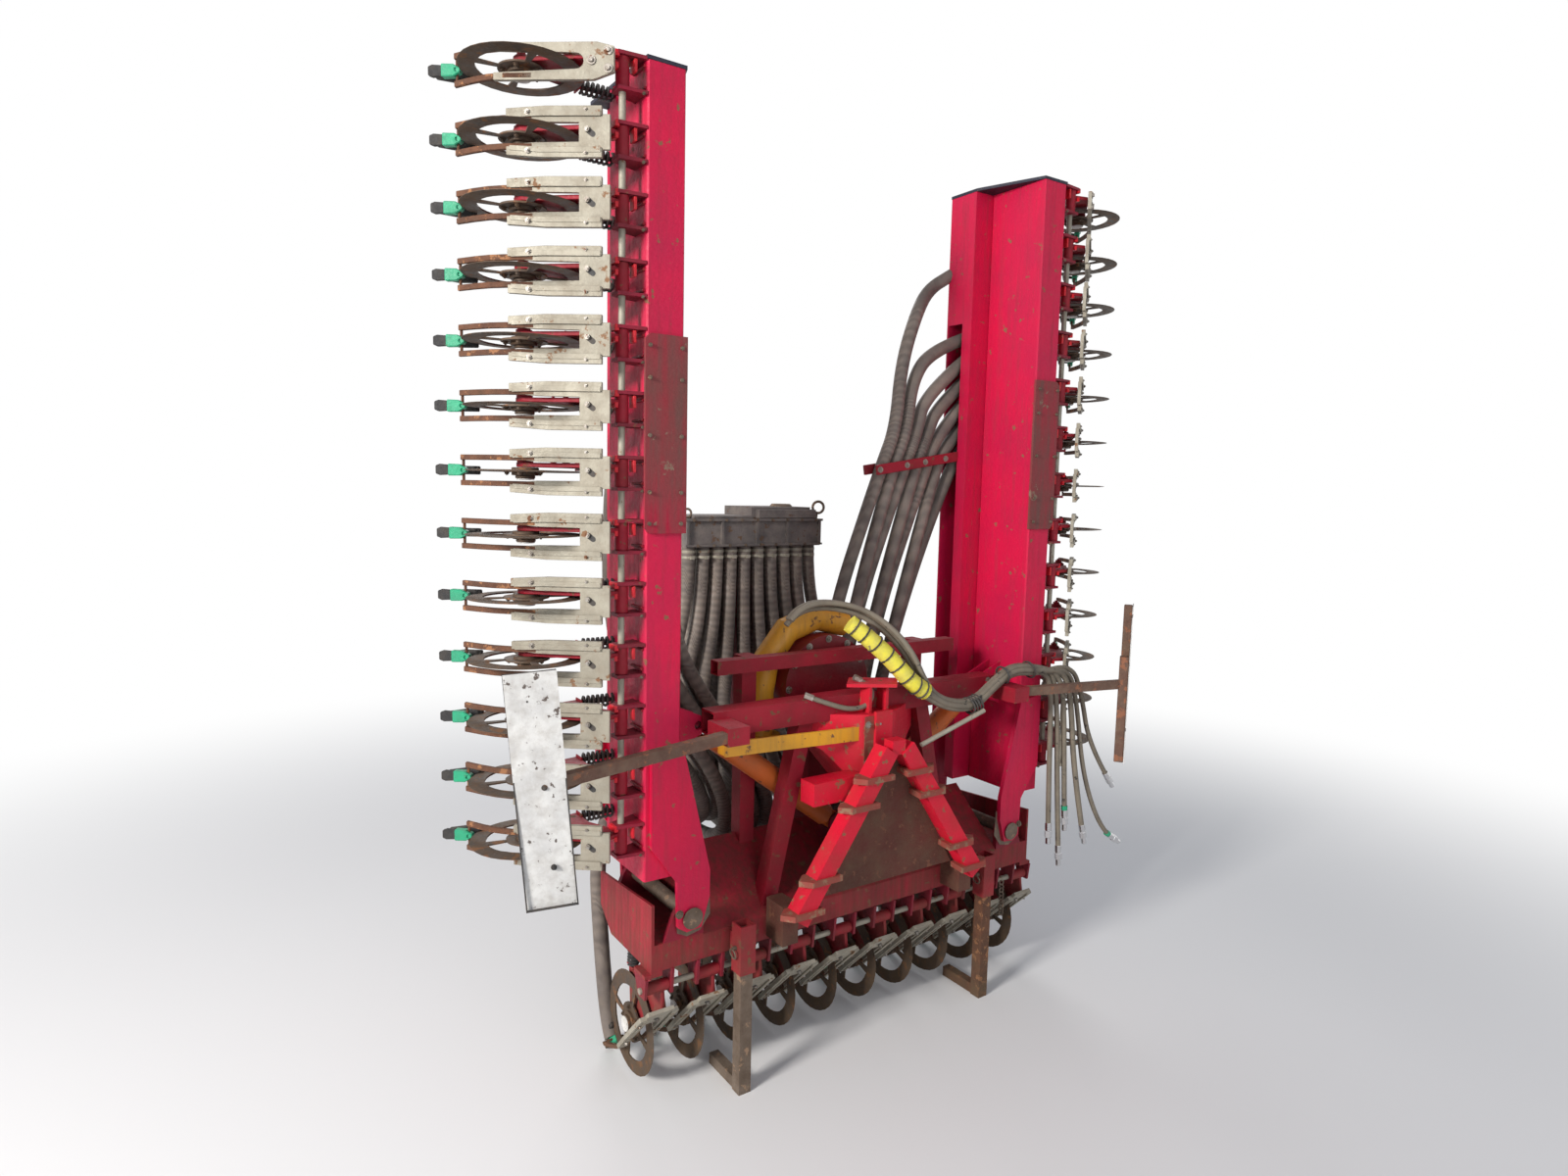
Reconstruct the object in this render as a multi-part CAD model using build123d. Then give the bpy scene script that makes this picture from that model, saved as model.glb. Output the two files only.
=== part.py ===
from build123d import *
import os
from math import acos, atan2, copysign, cos, degrees, hypot, radians, sin

# Folded slurry injector, millimetres. X runs across the machine, the hitch faces -Y, Z is up.
# The floor is Z = 0 and the origin lies under the middle of the machine.

os.makedirs("parts", exist_ok=True)

# Coulter rows
PITCH = 190.0
CENTRE_COULTERS = 10
WING_COULTERS = 13
FIT = 0.3
BORE_FIT = 0.1
RUNNING_GAP = 5.0

# Depth places, from the tower's front face backwards
TOWER_FRONT = -438.0
TOWER_BACK = TOWER_FRONT + 275.0
DUCT_BACK = TOWER_BACK + 143.0

# Wing tower: tube, hose duct behind it, and its reach
TOWER_OUTER = 915.0
TUBE_WIDTH = 125.0
TUBE_WALL = 8.0
TUBE_EDGE = 10.0
TOWER_INNER = TOWER_OUTER - TUBE_WIDTH
DUCT_INNER = 695.0
DUCT_OUTER = 860.0
DUCT_WALL = 8.0
DUCT_LIP = 53.0
DUCT_OPEN_TOP = 2750.0
TOWER_BOTTOM = 800.0
TOWER_TOP = 3272.0
CAP_THICKNESS = 8.0

# Doubler plate bolted over the tower's front
DOUBLER_LOW = 1905.0
DOUBLER_HIGH = 2500.0
DOUBLER_THICKNESS = 10.0
DOUBLER_OVERHANG = 8.0
DOUBLER_CLIP = 16.0

# Fold pin, so that an unfolded wing carries on the rows of the centre frame
PIN_X = 750.0
PIN_Z = 650.0
PIN_RADIUS = 25.0
PIN_END = 8.0
FOLD_RISE = PIN_X + PIN_Z
FOLD_REACH = PIN_X - PIN_Z
GUSSET_THICKNESS = 18.0
GUSSET_TOP = 1214.0
HINGE_LUG_THICKNESS = 20.0

# Centre frame
FRAME_BOTTOM = FOLD_RISE - TOWER_OUTER
FRAME_END = 30.0
FRAME_HALF = (CENTRE_COULTERS - 1) / 2 * PITCH + FRAME_END
PANEL_THICKNESS = 10.0
PANEL_FRONT = TOWER_FRONT + RUNNING_GAP
PANEL_BACK = DUCT_BACK - RUNNING_GAP
PANEL_TOP_FRONT = 712.0
PANEL_TOP_BACK = 680.0
PANEL_BOTTOM_BACK = 560.0
PANEL_SLOPE = 90.0
FRONT_LIP = 85.0
APRON_BACK = TOWER_FRONT + 250.0
APRON_TOP = 790.0
BEAM_HALF = FRAME_HALF - 190.0
END_BOX_HEIGHT = 90.0

# Coulter lugs and pivot rod
LUG_REACH = 88.0
LUG_PLATE = 10.0
LUG_HALF_DEPTH = 24.0
LUG_SPREAD = PITCH / 4
ROD_DROP = 65.0
ROD_RADIUS = 11.0
ROD_END = 8.0
ROD_Y = TOWER_FRONT + 33.0
ROD_Z = FRAME_BOTTOM - ROD_DROP
END_FOOT = 12.0

# Sides of the prisms that stand for the round pieces which repeat on every coulter
DISC_SIDES = 16
SPRING_SIDES = 6
ROUND_SIDES = 6
HOSE_SIDES = 6

# Coulter arm, disc and fork, measured from the pivot rod: back and down
SLEEVE_RADIUS = 21.0
HUB_BACK = 160.0
HUB_DOWN = 240.0
DISC_RADIUS = 177.0
DISC_THICKNESS = 6.0
HUB_RADIUS = 30.0
HUB_OUTER = 26.0
ARM_SIDE = 12.0
ARM_THICKNESS = 14.0
ARM_HUB_HALF = 34.0
SPRING_BACK = 208.0
SPRING_DOWN = 52.0
SPRING_RADIUS = 24.0
FORK_ANGLE = 37.7
FORK_BOLT_BACK = -15.0
FORK_BOLT_DOWN = 103.0
FORK_THICKNESS = 16.0
FORK_WIDTH = 95.0
FORK_GAP = 59.0
FORK_TOP = -50.0
FORK_CROTCH = 27.0
FORK_BEND = 250.0
FORK_END = (412.0, 55.0)
OVERLAY_WIDTH = 23.0
OVERLAY_TOP = -22.0
OVERLAY_END = 215.0

# Outlet behind the disc, along the fork and back from it
OUTLET_TOP = 400.0
OUTLET_JOINT = 456.0
OUTLET_END = 491.0
OUTLET_BACK = 56.0
OUTLET_HALF = 18.0
OUTLET_ROD = 406.0
OUTLET_ROD_RADIUS = 8.0
OUTLET_DEPTH = 24.0
OUTLET_TIP_DEPTH = 14.0
PARK_CLEARANCE = 0.5

# A-frame hitch: two legs with collar plates, the head block and its turret plate
HITCH_Y = TOWER_FRONT - 130.0
HITCH_APEX = 1140.0
HITCH_APEX_HALF = 38.0
HITCH_FOOT = 600.0
HITCH_HALF = 413.0
LEG_SIZE = 64.0
HITCH_BACK = HITCH_Y + LEG_SIZE / 2
COLLAR_SHARES = (0.05, 0.24, 0.66, 0.83)
COLLAR_THICKNESS = 20.0
COLLAR_HALF = 72.0
WEB_THICKNESS = 10.0
WEB_LOW = 640.0
WEB_HIGH = 1090.0
HITCH_BLOCK_LOW = 500.0
STUB_SIZE = 80.0
STUB_Z = 1005.0
STUB_END = 320.0
HEAD_FRONT = TOWER_FRONT - 55.0
HEAD_BACK = TOWER_FRONT + 150.0
HEAD_TOP = 1250.0
HEAD_LOW = 985.0
HEAD_HALF = 250.0
HEAD_NOSE = 62.0
HEAD_PLATE = 14.0
TURRET_Z = 1345.0
TURRET_PLATE = 12.0

# Beam across between the towers, its struts, and the rail behind it
CROSS_HALF = 655.0
CROSS_Y = TOWER_FRONT + 62.0
CROSS_Z = 1270.0
CROSS_SIZE = 85.0
CROSS_WALL = 7.0
CROSS_FRONT = CROSS_Y - CROSS_SIZE / 2
STRUT_TOP_X = 260.0
STRUT_FOOT_X = 430.0
STRUT_SIZE = 60.0
RAIL_HALF = 560.0
RAIL_Y = TOWER_FRONT + 190.0
RAIL_Z = 1425.0
RAIL_SIZE = 50.0
RAIL_WALL = 5.0
POST_X = 400.0
POST_SIZE = 60.0

# Stands: square legs that slide in sleeves between two coulters, held by a pin
STAND_X = 3 * PITCH
STAND_Y = TOWER_FRONT - 50.0
STAND_SIZE = 46.0
STAND_FIT = 0.5
SLEEVE_WALL = 6.0
SLEEVE_TOP = 600.0
SLEEVE_LOW = 430.0
STAND_TOP = 575.0
STAND_FOOT_BACK = 190.0
STAND_FOOT_WIDTH = 36.0
STAND_FOOT_HEIGHT = 40.0

# Drum with the slurry pipe round it
DRUM_X = -30.0
DRUM_FRONT = TOWER_FRONT + 238.0
DRUM_DEPTH = 160.0
DRUM_Z = 1300.0
DRUM_RADIUS = 195.0
DRUM_FOOT_HALF = 60.0
PIPE_RADIUS = 50.0
PIPE_WALL = 6.0
PIPE_BEND = 255.0
PIPE_FLANGE = 78.0
PIPE_FLANGE_THICKNESS = 14.0
PIPE_LOW = 1110.0
SADDLE_HALF = 20.0

# Distributor box on its mast
BOX_HALF = 335.0
BOX_FRONT = TOWER_FRONT + 820.0
BOX_DEPTH = 290.0
BOX_LOW = 1795.0
BOX_HIGH = 1915.0
LID_LOW_X = -10.0
LID_HIGH_X = 300.0
LID_HEIGHT = 50.0
MAST_HALF = 25.0
MAST_FRONT = BOX_FRONT + 85.0
MAST_DEPTH = 80.0
MAST_FOOT_LOW = 600.0
MAST_FOOT_HIGH = 670.0

# Slurry hoses: one row to the centre coulters, and a bundle to each wing
HOSE_RADIUS = 29.0
HOSE_PITCH = 68.0
HOSE_ROW_Y = BOX_FRONT + 40.0
WING_HOSE_RADIUS = 28.0
WING_HOSE_COLUMN = 62.0
WING_HOSE_FIRST = 58.0
WING_HOSE_ROW = 65.0
WING_HOSE_Y = BOX_FRONT + 110.0
WING_HOSE_LOW = 720.0
WING_HOSE_STEP = 80.0
HOSE_RISE_FRONT = PANEL_BACK + 55.0
HOSE_RISE_BACK = PANEL_BACK + 120.0
HOSE_RISE_COLUMN = 60.0
HOSE_TURN_Z = 900.0
HOSE_TURN_STEP = 30.0
HOSE_SPREAD_X = 180.0
HOSE_SPREAD = 62.0
HOSE_SPREAD_Z = 1450.0
DUCT_MOUTH_Y = TOWER_BACK + DUCT_LIP + 41.0

# Fold cylinders
CYLINDER_Y = TOWER_FRONT + 153.0
CYLINDER_FOOT = (60.0, 800.0)
FOOT_HALF = 60.0
FOOT_ROOT = 100.0
CYLINDER_EYE = (660.0, 1250.0)
CYLINDER_RADIUS = 42.0
PISTON_RADIUS = 22.0
EYE_RADIUS = 34.0
EYE_HALF = 18.0
EYE_PIN = 15.0
CLEVIS_PLATE = 12.0
CLEVIS_HALF = 24.0
CYLINDER_LENGTH = hypot(CYLINDER_EYE[0] - CYLINDER_FOOT[0], CYLINDER_EYE[1] - CYLINDER_FOOT[1])
BARREL_START = 45.0
BARREL_END = CYLINDER_LENGTH - 60.0

# Marker boards on their bars
BOARD_Y = TOWER_FRONT - 192.0
BOARD_WIDTH = 140.0
BOARD_HEIGHT = 665.0
BOARD_THICKNESS = 4.0
BAR_SIZE = 34.0
BRACKET_INNER = 600.0
BRACKET_OUTER = 680.0
BRACKET_TOP = CROSS_Z + 22.0
BRACKET_LOW = CROSS_Z - 37.0
# For each side: the board's place in X and Z, its turn and lean, and the bar's two ends
MARKERS = (
    (1241.0, 1258.0, 35.0, 0.0, (627.0, TOWER_FRONT - 112.0, 1272.0), (1241.0, BOARD_Y, 1257.0)),
    (-1314.0, 1220.0, -20.0, -5.0, (-627.0, TOWER_FRONT - 84.0, 1263.0), (-1290.0, BOARD_Y - 8.0, 1243.0)),
)

# Flat tie bar from the cross beam's left end to the head block
TIE_Y = TOWER_FRONT - 32.0
TIE_START = (-643.0, TIE_Y, 1201.0)
TIE_END = (-70.0, TIE_Y, 1180.0)
TIE_WIDTH = 50.0
TIE_THICKNESS = 10.0


def along_fork(share, back):
    """Place along the fork and behind it, as back and up from the pivot rod."""
    turn = radians(FORK_ANGLE)
    return (
        FORK_BOLT_BACK + share * sin(turn) + back * cos(turn),
        -FORK_BOLT_DOWN - share * cos(turn) + back * sin(turn),
    )


# The centre coulters park tilted, so that the lowest edge of their outlets meets the floor
OUTLET_CORNER = along_fork(OUTLET_END, OUTLET_BACK - OUTLET_TIP_DEPTH / 2)
PARK_TILT = degrees(acos((ROD_Z - PARK_CLEARANCE) / hypot(*OUTLET_CORNER))) - degrees(
    atan2(OUTLET_CORNER[0], -OUTLET_CORNER[1])
)


def block(x_low, x_high, y_low, y_high, z_low, z_high):
    """Box between two corners."""
    size = (x_high - x_low, y_high - y_low, z_high - z_low)
    return Pos(x_low, y_low, z_low) * Box(*size, align=(Align.MIN, Align.MIN, Align.MIN))


def plate_xz(points, y_low, y_high):
    """Outline in X and Z, thick in Y."""
    plane = Plane(origin=(0, y_high, 0), x_dir=(1, 0, 0), z_dir=(0, -1, 0))
    return extrude(plane * Polygon(*points, align=None), y_high - y_low, dir=(0, -1, 0))


def plate_yz(points, x_low, x_high):
    """Outline in Y and Z, thick in X."""
    plane = Plane(origin=(x_low, 0, 0), x_dir=(0, 1, 0), z_dir=(1, 0, 0))
    return extrude(plane * Polygon(*points, align=None), x_high - x_low, dir=(1, 0, 0))


def plate_xy(points, z_low, z_high):
    """Outline in X and Y, thick in Z."""
    return extrude(Pos(0, 0, z_low) * Polygon(*points, align=None), z_high - z_low, dir=(0, 0, 1))


def bar_x(x_low, x_high, y, z, radius):
    """Round bar along X."""
    return Pos((x_low + x_high) / 2, y, z) * Rot(0, 90, 0) * Cylinder(radius, x_high - x_low)


def bar_y(x, y_low, y_high, z, radius):
    """Round bar along Y."""
    return Pos(x, (y_low + y_high) / 2, z) * Rot(90, 0, 0) * Cylinder(radius, y_high - y_low)


def prism_x(x_low, x_high, y, z, radius, sides):
    """Bar along X with flat sides."""
    plane = Plane(origin=(x_low, y, z), x_dir=(0, 1, 0), z_dir=(1, 0, 0))
    return extrude(plane * RegularPolygon(radius, sides), x_high - x_low)


def prism_z(x, y, z_low, z_high, radius, sides):
    """Upright bar with flat sides."""
    return extrude(Pos(x, y, z_low) * RegularPolygon(radius, sides), z_high - z_low)


def tube_x(half, y, z, size, wall):
    """Square tube along X, open at both ends."""
    reach = size / 2
    inner = reach - wall
    outside = block(-half, half, y - reach, y + reach, z - reach, z + reach)
    return outside - block(-half - 1, half + 1, y - inner, y + inner, z - inner, z + inner)


def strut(start, end, width, depth):
    """Square bar from one point to another, its depth turned towards Y."""
    start, end = Vector(*start), Vector(*end)
    along = end - start
    side = along.cross(Vector(0, 1, 0)).normalized()
    plane = Plane(origin=start, x_dir=side, z_dir=along)
    return extrude(plane * Rectangle(width, depth), along.length)


def mitred(points, section):
    """Section along straight runs that meet in mitres."""
    path = Polyline(*points)
    return sweep(Plane(origin=path @ 0, z_dir=path % 0) * section, path=path, transition=Transition.RIGHT)


def hose(radius, points):
    """Slurry hose through some points."""
    return mitred(points, RegularPolygon(radius, HOSE_SIDES))


def flat(shape):
    """Every solid of a shape or of nested lists of shapes."""
    if isinstance(shape, (list, tuple)):
        return [solid for item in shape for solid in flat(item)]
    return list(shape.solids())


def save(name, *shapes):
    """Write one node."""
    solids = flat(shapes)
    export_step(solids[0] if len(solids) == 1 else Compound(children=solids), f"parts/{name}.step")


def mirrored(shapes):
    """The same solids on the other side of the machine."""
    return [mirror(solid, about=Plane.YZ) for solid in flat(shapes)]


# Coulter pieces, in the frame of the pivot rod: X along the row, Y back, -Z down


def arm():
    """Sleeve on the rod and the plate that carries fork, disc and spring."""
    half = LUG_SPREAD - LUG_PLATE / 2 - FIT
    face = FORK_THICKNESS / 2 + FIT
    outline = [
        (-SLEEVE_RADIUS / 2, 0),
        along_fork(FORK_TOP, face),
        along_fork(FORK_CROTCH + 20, face),
        (HUB_BACK - ARM_HUB_HALF, -HUB_DOWN - 18),
        (HUB_BACK + ARM_HUB_HALF, -HUB_DOWN - 18),
        (SPRING_BACK + SPRING_RADIUS, -SPRING_DOWN),
        (SPRING_BACK - SPRING_RADIUS - 50, -SPRING_DOWN),
    ]
    plate = plate_yz(outline, ARM_SIDE, ARM_SIDE + ARM_THICKNESS)
    return prism_x(-half, half, 0, 0, SLEEVE_RADIUS, ROUND_SIDES) + plate


def spring(top):
    """Compression spring that stands on the arm."""
    middle = ARM_SIDE + ARM_THICKNESS / 2
    return prism_z(middle, SPRING_BACK, -SPRING_DOWN, top, SPRING_RADIUS, SPRING_SIDES)


def fork():
    """Fork plate with two prongs, the bars bolted outside them, and the prongs' swept ends."""
    prong, gap, bars = FORK_WIDTH / 2, FORK_GAP / 2, FORK_WIDTH / 2 + OVERLAY_WIDTH
    side = [
        (gap, FORK_CROTCH),
        (gap, FORK_BEND),
        (prong, FORK_BEND),
        (prong, OVERLAY_END),
        (bars, OVERLAY_END),
        (bars, OVERLAY_TOP),
        (prong, FORK_TOP),
    ]
    outline = [(x, -share) for x, share in side] + [(-x, -share) for x, share in reversed(side)]
    middle = FORK_THICKNESS / 2
    place = Pos(0, FORK_BOLT_BACK, -FORK_BOLT_DOWN) * Rot(FORK_ANGLE, 0, 0)
    body = place * plate_xz(outline, -middle, middle)
    swept = [
        along_fork(FORK_BEND, -middle),
        along_fork(FORK_END[0], FORK_END[1] - middle),
        along_fork(FORK_END[0], FORK_END[1] + middle),
        along_fork(FORK_BEND, middle),
    ]
    return body + plate_yz(swept, -prong, -gap) + plate_yz(swept, gap, prong)


def outlet():
    """Block on a rod between the prongs' ends, with the flattened rubber outlet below it."""
    half, tip = OUTLET_DEPTH / 2, OUTLET_TIP_DEPTH / 2
    outline = [
        along_fork(OUTLET_TOP, OUTLET_BACK - half),
        along_fork(OUTLET_JOINT, OUTLET_BACK - half),
        along_fork(OUTLET_END, OUTLET_BACK - tip),
        along_fork(OUTLET_END, OUTLET_BACK + tip),
        along_fork(OUTLET_JOINT, OUTLET_BACK + half),
        along_fork(OUTLET_TOP, OUTLET_BACK + half),
    ]
    reach = FORK_GAP / 2 - FIT
    rod = prism_x(-reach, reach, *along_fork(OUTLET_ROD, OUTLET_BACK), OUTLET_ROD_RADIUS, ROUND_SIDES)
    return plate_yz(outline, -OUTLET_HALF, OUTLET_HALF) + rod


def disc():
    """Cutting disc with its hub."""
    middle = DISC_THICKNESS / 2
    body = prism_x(-middle, middle, HUB_BACK, -HUB_DOWN, DISC_RADIUS, DISC_SIDES)
    return body + prism_x(-HUB_OUTER, ARM_SIDE - FIT, HUB_BACK, -HUB_DOWN, HUB_RADIUS, ROUND_SIDES)


def lug(side, top):
    """Lug plate that carries one side of a coulter's sleeve."""
    low = ROD_DROP - LUG_REACH
    outline = [
        (TOWER_FRONT - ROD_Y, top),
        (-LUG_HALF_DEPTH, low),
        (LUG_HALF_DEPTH, low),
        (LUG_HALF_DEPTH + 30, top),
    ]
    middle = side * LUG_SPREAD
    return plate_yz(outline, middle - LUG_PLATE / 2, middle + LUG_PLATE / 2)


def rod_run(low, high):
    """Stretch of the pivot rod that shows between two lugs."""
    return prism_x(low, high, 0, 0, ROD_RADIUS, ROUND_SIDES)


def centre_place(index):
    """Where a centre coulter's rod frame lies, upright."""
    return Pos((index - (CENTRE_COULTERS - 1) / 2) * PITCH, ROD_Y, ROD_Z)


def parked_place(index):
    """The same, tilted as the coulter parks."""
    return centre_place(index) * Rot(PARK_TILT, 0, 0)


def wing_place(index):
    """Where a coulter of the right wing stands, folded up."""
    z = (CENTRE_COULTERS + 1) / 2 * PITCH - FOLD_REACH + index * PITCH
    return Pos(FOLD_RISE - ROD_Z, ROD_Y, z) * Rot(0, -90, 0)


def row_of_lugs(place, count, end_top):
    """Two lugs for each coulter of a row; the outermost may hang lower."""
    solids = []
    for index in range(count):
        for side in (-1, 1):
            outermost = (index, side) in ((0, -1), (count - 1, 1))
            solids.append(place(index) * lug(side, end_top if outermost else ROD_DROP))
    return solids


def row_of_rods(place, count):
    """The rod between neighbouring coulters, and its two ends."""
    edge = LUG_SPREAD + LUG_PLATE / 2
    solids = [place(index) * rod_run(edge, PITCH - edge) for index in range(count - 1)]
    solids.append(place(0) * rod_run(-edge - ROD_END, -edge))
    solids.append(place(count - 1) * rod_run(edge, edge + ROD_END))
    return solids


# Centre frame


def apron_outline():
    """Beam with its sloping apron, in Y and Z."""
    return [
        (PANEL_FRONT, FRAME_BOTTOM),
        (PANEL_BACK - PANEL_SLOPE, FRAME_BOTTOM),
        (PANEL_BACK, PANEL_BOTTOM_BACK),
        (PANEL_BACK, PANEL_TOP_BACK),
        (APRON_BACK, APRON_TOP),
        (PANEL_FRONT, FRAME_BOTTOM + FRONT_LIP),
    ]


def end_box():
    """Low box at the right end that the fold hinge stands on, its end panel and the last lug's foot."""
    top = FRAME_BOTTOM + END_BOX_HEIGHT
    low = [
        (PANEL_FRONT, FRAME_BOTTOM),
        (PANEL_BACK - PANEL_SLOPE, FRAME_BOTTOM),
        (PANEL_BACK, PANEL_BOTTOM_BACK),
        (PANEL_BACK, top),
        (PANEL_FRONT, top),
    ]
    panel = low[:3] + [(PANEL_BACK, PANEL_TOP_BACK), (PANEL_FRONT, PANEL_TOP_FRONT)]
    far = FRAME_HALF - PANEL_THICKNESS
    shape = plate_yz(low, BEAM_HALF, far) + plate_yz(panel, far, FRAME_HALF)
    last_lug = (CENTRE_COULTERS - 1) / 2 * PITCH + LUG_SPREAD + LUG_PLATE / 2
    foot_top = FRAME_BOTTOM - RUNNING_GAP
    depth = (PANEL_FRONT, ROD_Y + LUG_HALF_DEPTH + 30)
    shape += block(FRAME_HALF - 40, last_lug, *depth, foot_top - END_FOOT, foot_top)
    shape += block(FRAME_HALF - 40, FRAME_HALF, *depth, foot_top, FRAME_BOTTOM)
    return shape


def hinge_bore(y_low, y_high):
    """Bore for the fold pin through one plate."""
    return bar_y(PIN_X, y_low - 1, y_high + 1, PIN_Z, PIN_RADIUS + BORE_FIT)


def hinge_lug(y_low, y_high):
    """One fixed lug of the right fold hinge."""
    seat = FRAME_BOTTOM + END_BOX_HEIGHT
    outline = [
        (PIN_X - 55, seat),
        (PIN_X + 90, seat),
        (PIN_X + 55, PIN_Z + 12),
        (PIN_X + 25, PIN_Z + 50),
        (PIN_X - 25, PIN_Z + 50),
        (PIN_X - 55, PIN_Z + 20),
    ]
    return plate_xz(outline, y_low, y_high) - hinge_bore(y_low, y_high)


def tower():
    """Right wing's tube, open below, with the open hose duct behind it and the plate on top."""
    tube = block(TOWER_INNER, TOWER_OUTER, TOWER_FRONT, TOWER_BACK, TOWER_BOTTOM, TOWER_TOP)
    tube = chamfer(tube.edges().filter_by(Axis.Z), TUBE_EDGE / 2)
    tube -= block(
        TOWER_INNER + TUBE_WALL, TOWER_OUTER - TUBE_WALL, TOWER_FRONT + TUBE_WALL, TOWER_BACK - TUBE_WALL,
        TOWER_BOTTOM - 1, TOWER_TOP - TUBE_WALL,
    )
    duct = block(DUCT_INNER, DUCT_OUTER, TOWER_BACK, DUCT_BACK, TOWER_BOTTOM, TOWER_TOP)
    duct -= block(
        DUCT_INNER + DUCT_WALL, DUCT_OUTER - DUCT_WALL, TOWER_BACK + DUCT_WALL, DUCT_BACK - DUCT_WALL,
        TOWER_BOTTOM - 1, TOWER_TOP - DUCT_WALL,
    )
    duct -= block(
        DUCT_INNER - 1, DUCT_INNER + DUCT_WALL + 1, TOWER_BACK + DUCT_LIP, DUCT_BACK - DUCT_WALL,
        TOWER_BOTTOM - 1, DUCT_OPEN_TOP,
    )
    cap = [
        (TOWER_INNER, TOWER_FRONT),
        (TOWER_OUTER, TOWER_FRONT),
        (TOWER_OUTER, DUCT_BACK),
        (DUCT_INNER, DUCT_BACK),
        (DUCT_INNER, TOWER_BACK),
    ]
    return tube + duct + plate_xy(cap, TOWER_TOP, TOWER_TOP + CAP_THICKNESS)


def gusset(y_low, y_high):
    """Hinge plate at the tower's foot, wide at its middle."""
    outline = [
        (TOWER_INNER - 10, GUSSET_TOP - 17),
        (TOWER_OUTER - 18, GUSSET_TOP),
        (TOWER_OUTER - 18, TOWER_BOTTOM + 110),
        (PIN_X + 55, TOWER_BOTTOM - 20),
        (PIN_X + 50, PIN_Z - 25),
        (PIN_X + 20, PIN_Z - 45),
        (PIN_X - 35, PIN_Z - 40),
        (PIN_X - 65, PIN_Z + 60),
        (PIN_X - 65, TOWER_BOTTOM),
    ]
    return plate_xz(outline, y_low, y_high) - hinge_bore(y_low, y_high)


FRONT_GUSSET = (TOWER_FRONT - GUSSET_THICKNESS, TOWER_FRONT)
BACK_GUSSET = (DUCT_BACK, DUCT_BACK + GUSSET_THICKNESS)


def doubler():
    """Plate bolted over the tower's front, with clipped corners."""
    inner, outer = TOWER_INNER - DOUBLER_OVERHANG, TOWER_OUTER + DOUBLER_OVERHANG
    clip = DOUBLER_CLIP
    outline = [
        (inner, DOUBLER_LOW),
        (outer - clip, DOUBLER_LOW),
        (outer, DOUBLER_LOW + clip),
        (outer, DOUBLER_HIGH - clip),
        (outer - clip, DOUBLER_HIGH),
        (inner, DOUBLER_HIGH),
    ]
    return plate_xz(outline, TOWER_FRONT - DOUBLER_THICKNESS, TOWER_FRONT)


def clevis(outline, x, z):
    """Two plates either side of a cylinder's eye, bored for its pin."""
    plates = []
    for y in (CYLINDER_Y - CLEVIS_HALF - CLEVIS_PLATE, CYLINDER_Y + CLEVIS_HALF):
        bore = bar_y(x, y - 1, y + CLEVIS_PLATE + 1, z, EYE_PIN + BORE_FIT)
        plates.append(plate_xz(outline, y, y + CLEVIS_PLATE) - bore)
    return plates


def wing_ears():
    """Ears on the tower that the fold cylinder's rod reaches."""
    x, z = CYLINDER_EYE
    outline = [(TOWER_INNER, z - 90), (TOWER_INNER, z + 90), (x - 10, z + 32), (x - 34, z), (x - 10, z - 32)]
    return clevis(outline, x, z)


# Hitch


def leg():
    """Right leg of the A-frame."""
    start, end = (HITCH_HALF, HITCH_Y, HITCH_FOOT), (HITCH_APEX_HALF, HITCH_Y, HITCH_APEX)
    return strut(start, end, LEG_SIZE, LEG_SIZE)


def along_leg(share):
    """Place on the right leg, from foot to apex."""
    return (
        HITCH_HALF + (HITCH_APEX_HALF - HITCH_HALF) * share,
        HITCH_FOOT + (HITCH_APEX - HITCH_FOOT) * share,
    )


def collar(share):
    """Pointed plate round the right leg."""
    x, z = along_leg(share)
    half = COLLAR_HALF
    outline = [
        (x - half, HITCH_Y - 42),
        (x + half - 20, HITCH_Y - 42),
        (x + half + 14, HITCH_Y - 4),
        (x + half - 24, HITCH_BACK),
        (x - half + 10, HITCH_BACK),
    ]
    return plate_xy(outline, z - COLLAR_THICKNESS / 2, z + COLLAR_THICKNESS / 2)


def head():
    """Head block: bow-shaped in plan, drawn in below."""
    plan = [
        (-HEAD_NOSE, HEAD_FRONT),
        (HEAD_NOSE, HEAD_FRONT),
        (HEAD_HALF, HEAD_FRONT + 120),
        (HEAD_HALF, HEAD_BACK),
        (-HEAD_HALF, HEAD_BACK),
        (-HEAD_HALF, HEAD_FRONT + 120),
    ]
    side = [(85, HEAD_LOW), (200, HEAD_TOP - 130), (300, HEAD_TOP - 80), (280, HEAD_TOP)]
    front = side + [(-x, z) for x, z in reversed(side)]
    return plate_xy(plan, HEAD_LOW, HEAD_TOP) & plate_xz(front, HEAD_FRONT - 1, HEAD_BACK + 1)


# Fold cylinders, drawn along X from the foot pin, then turned to the wing's ear


def cylinder_place():
    """Frame of the right cylinder at its foot pin."""
    turn = degrees(atan2(CYLINDER_EYE[1] - CYLINDER_FOOT[1], CYLINDER_EYE[0] - CYLINDER_FOOT[0]))
    return Pos(CYLINDER_FOOT[0], CYLINDER_Y, CYLINDER_FOOT[1]) * Rot(0, -turn, 0)


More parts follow.
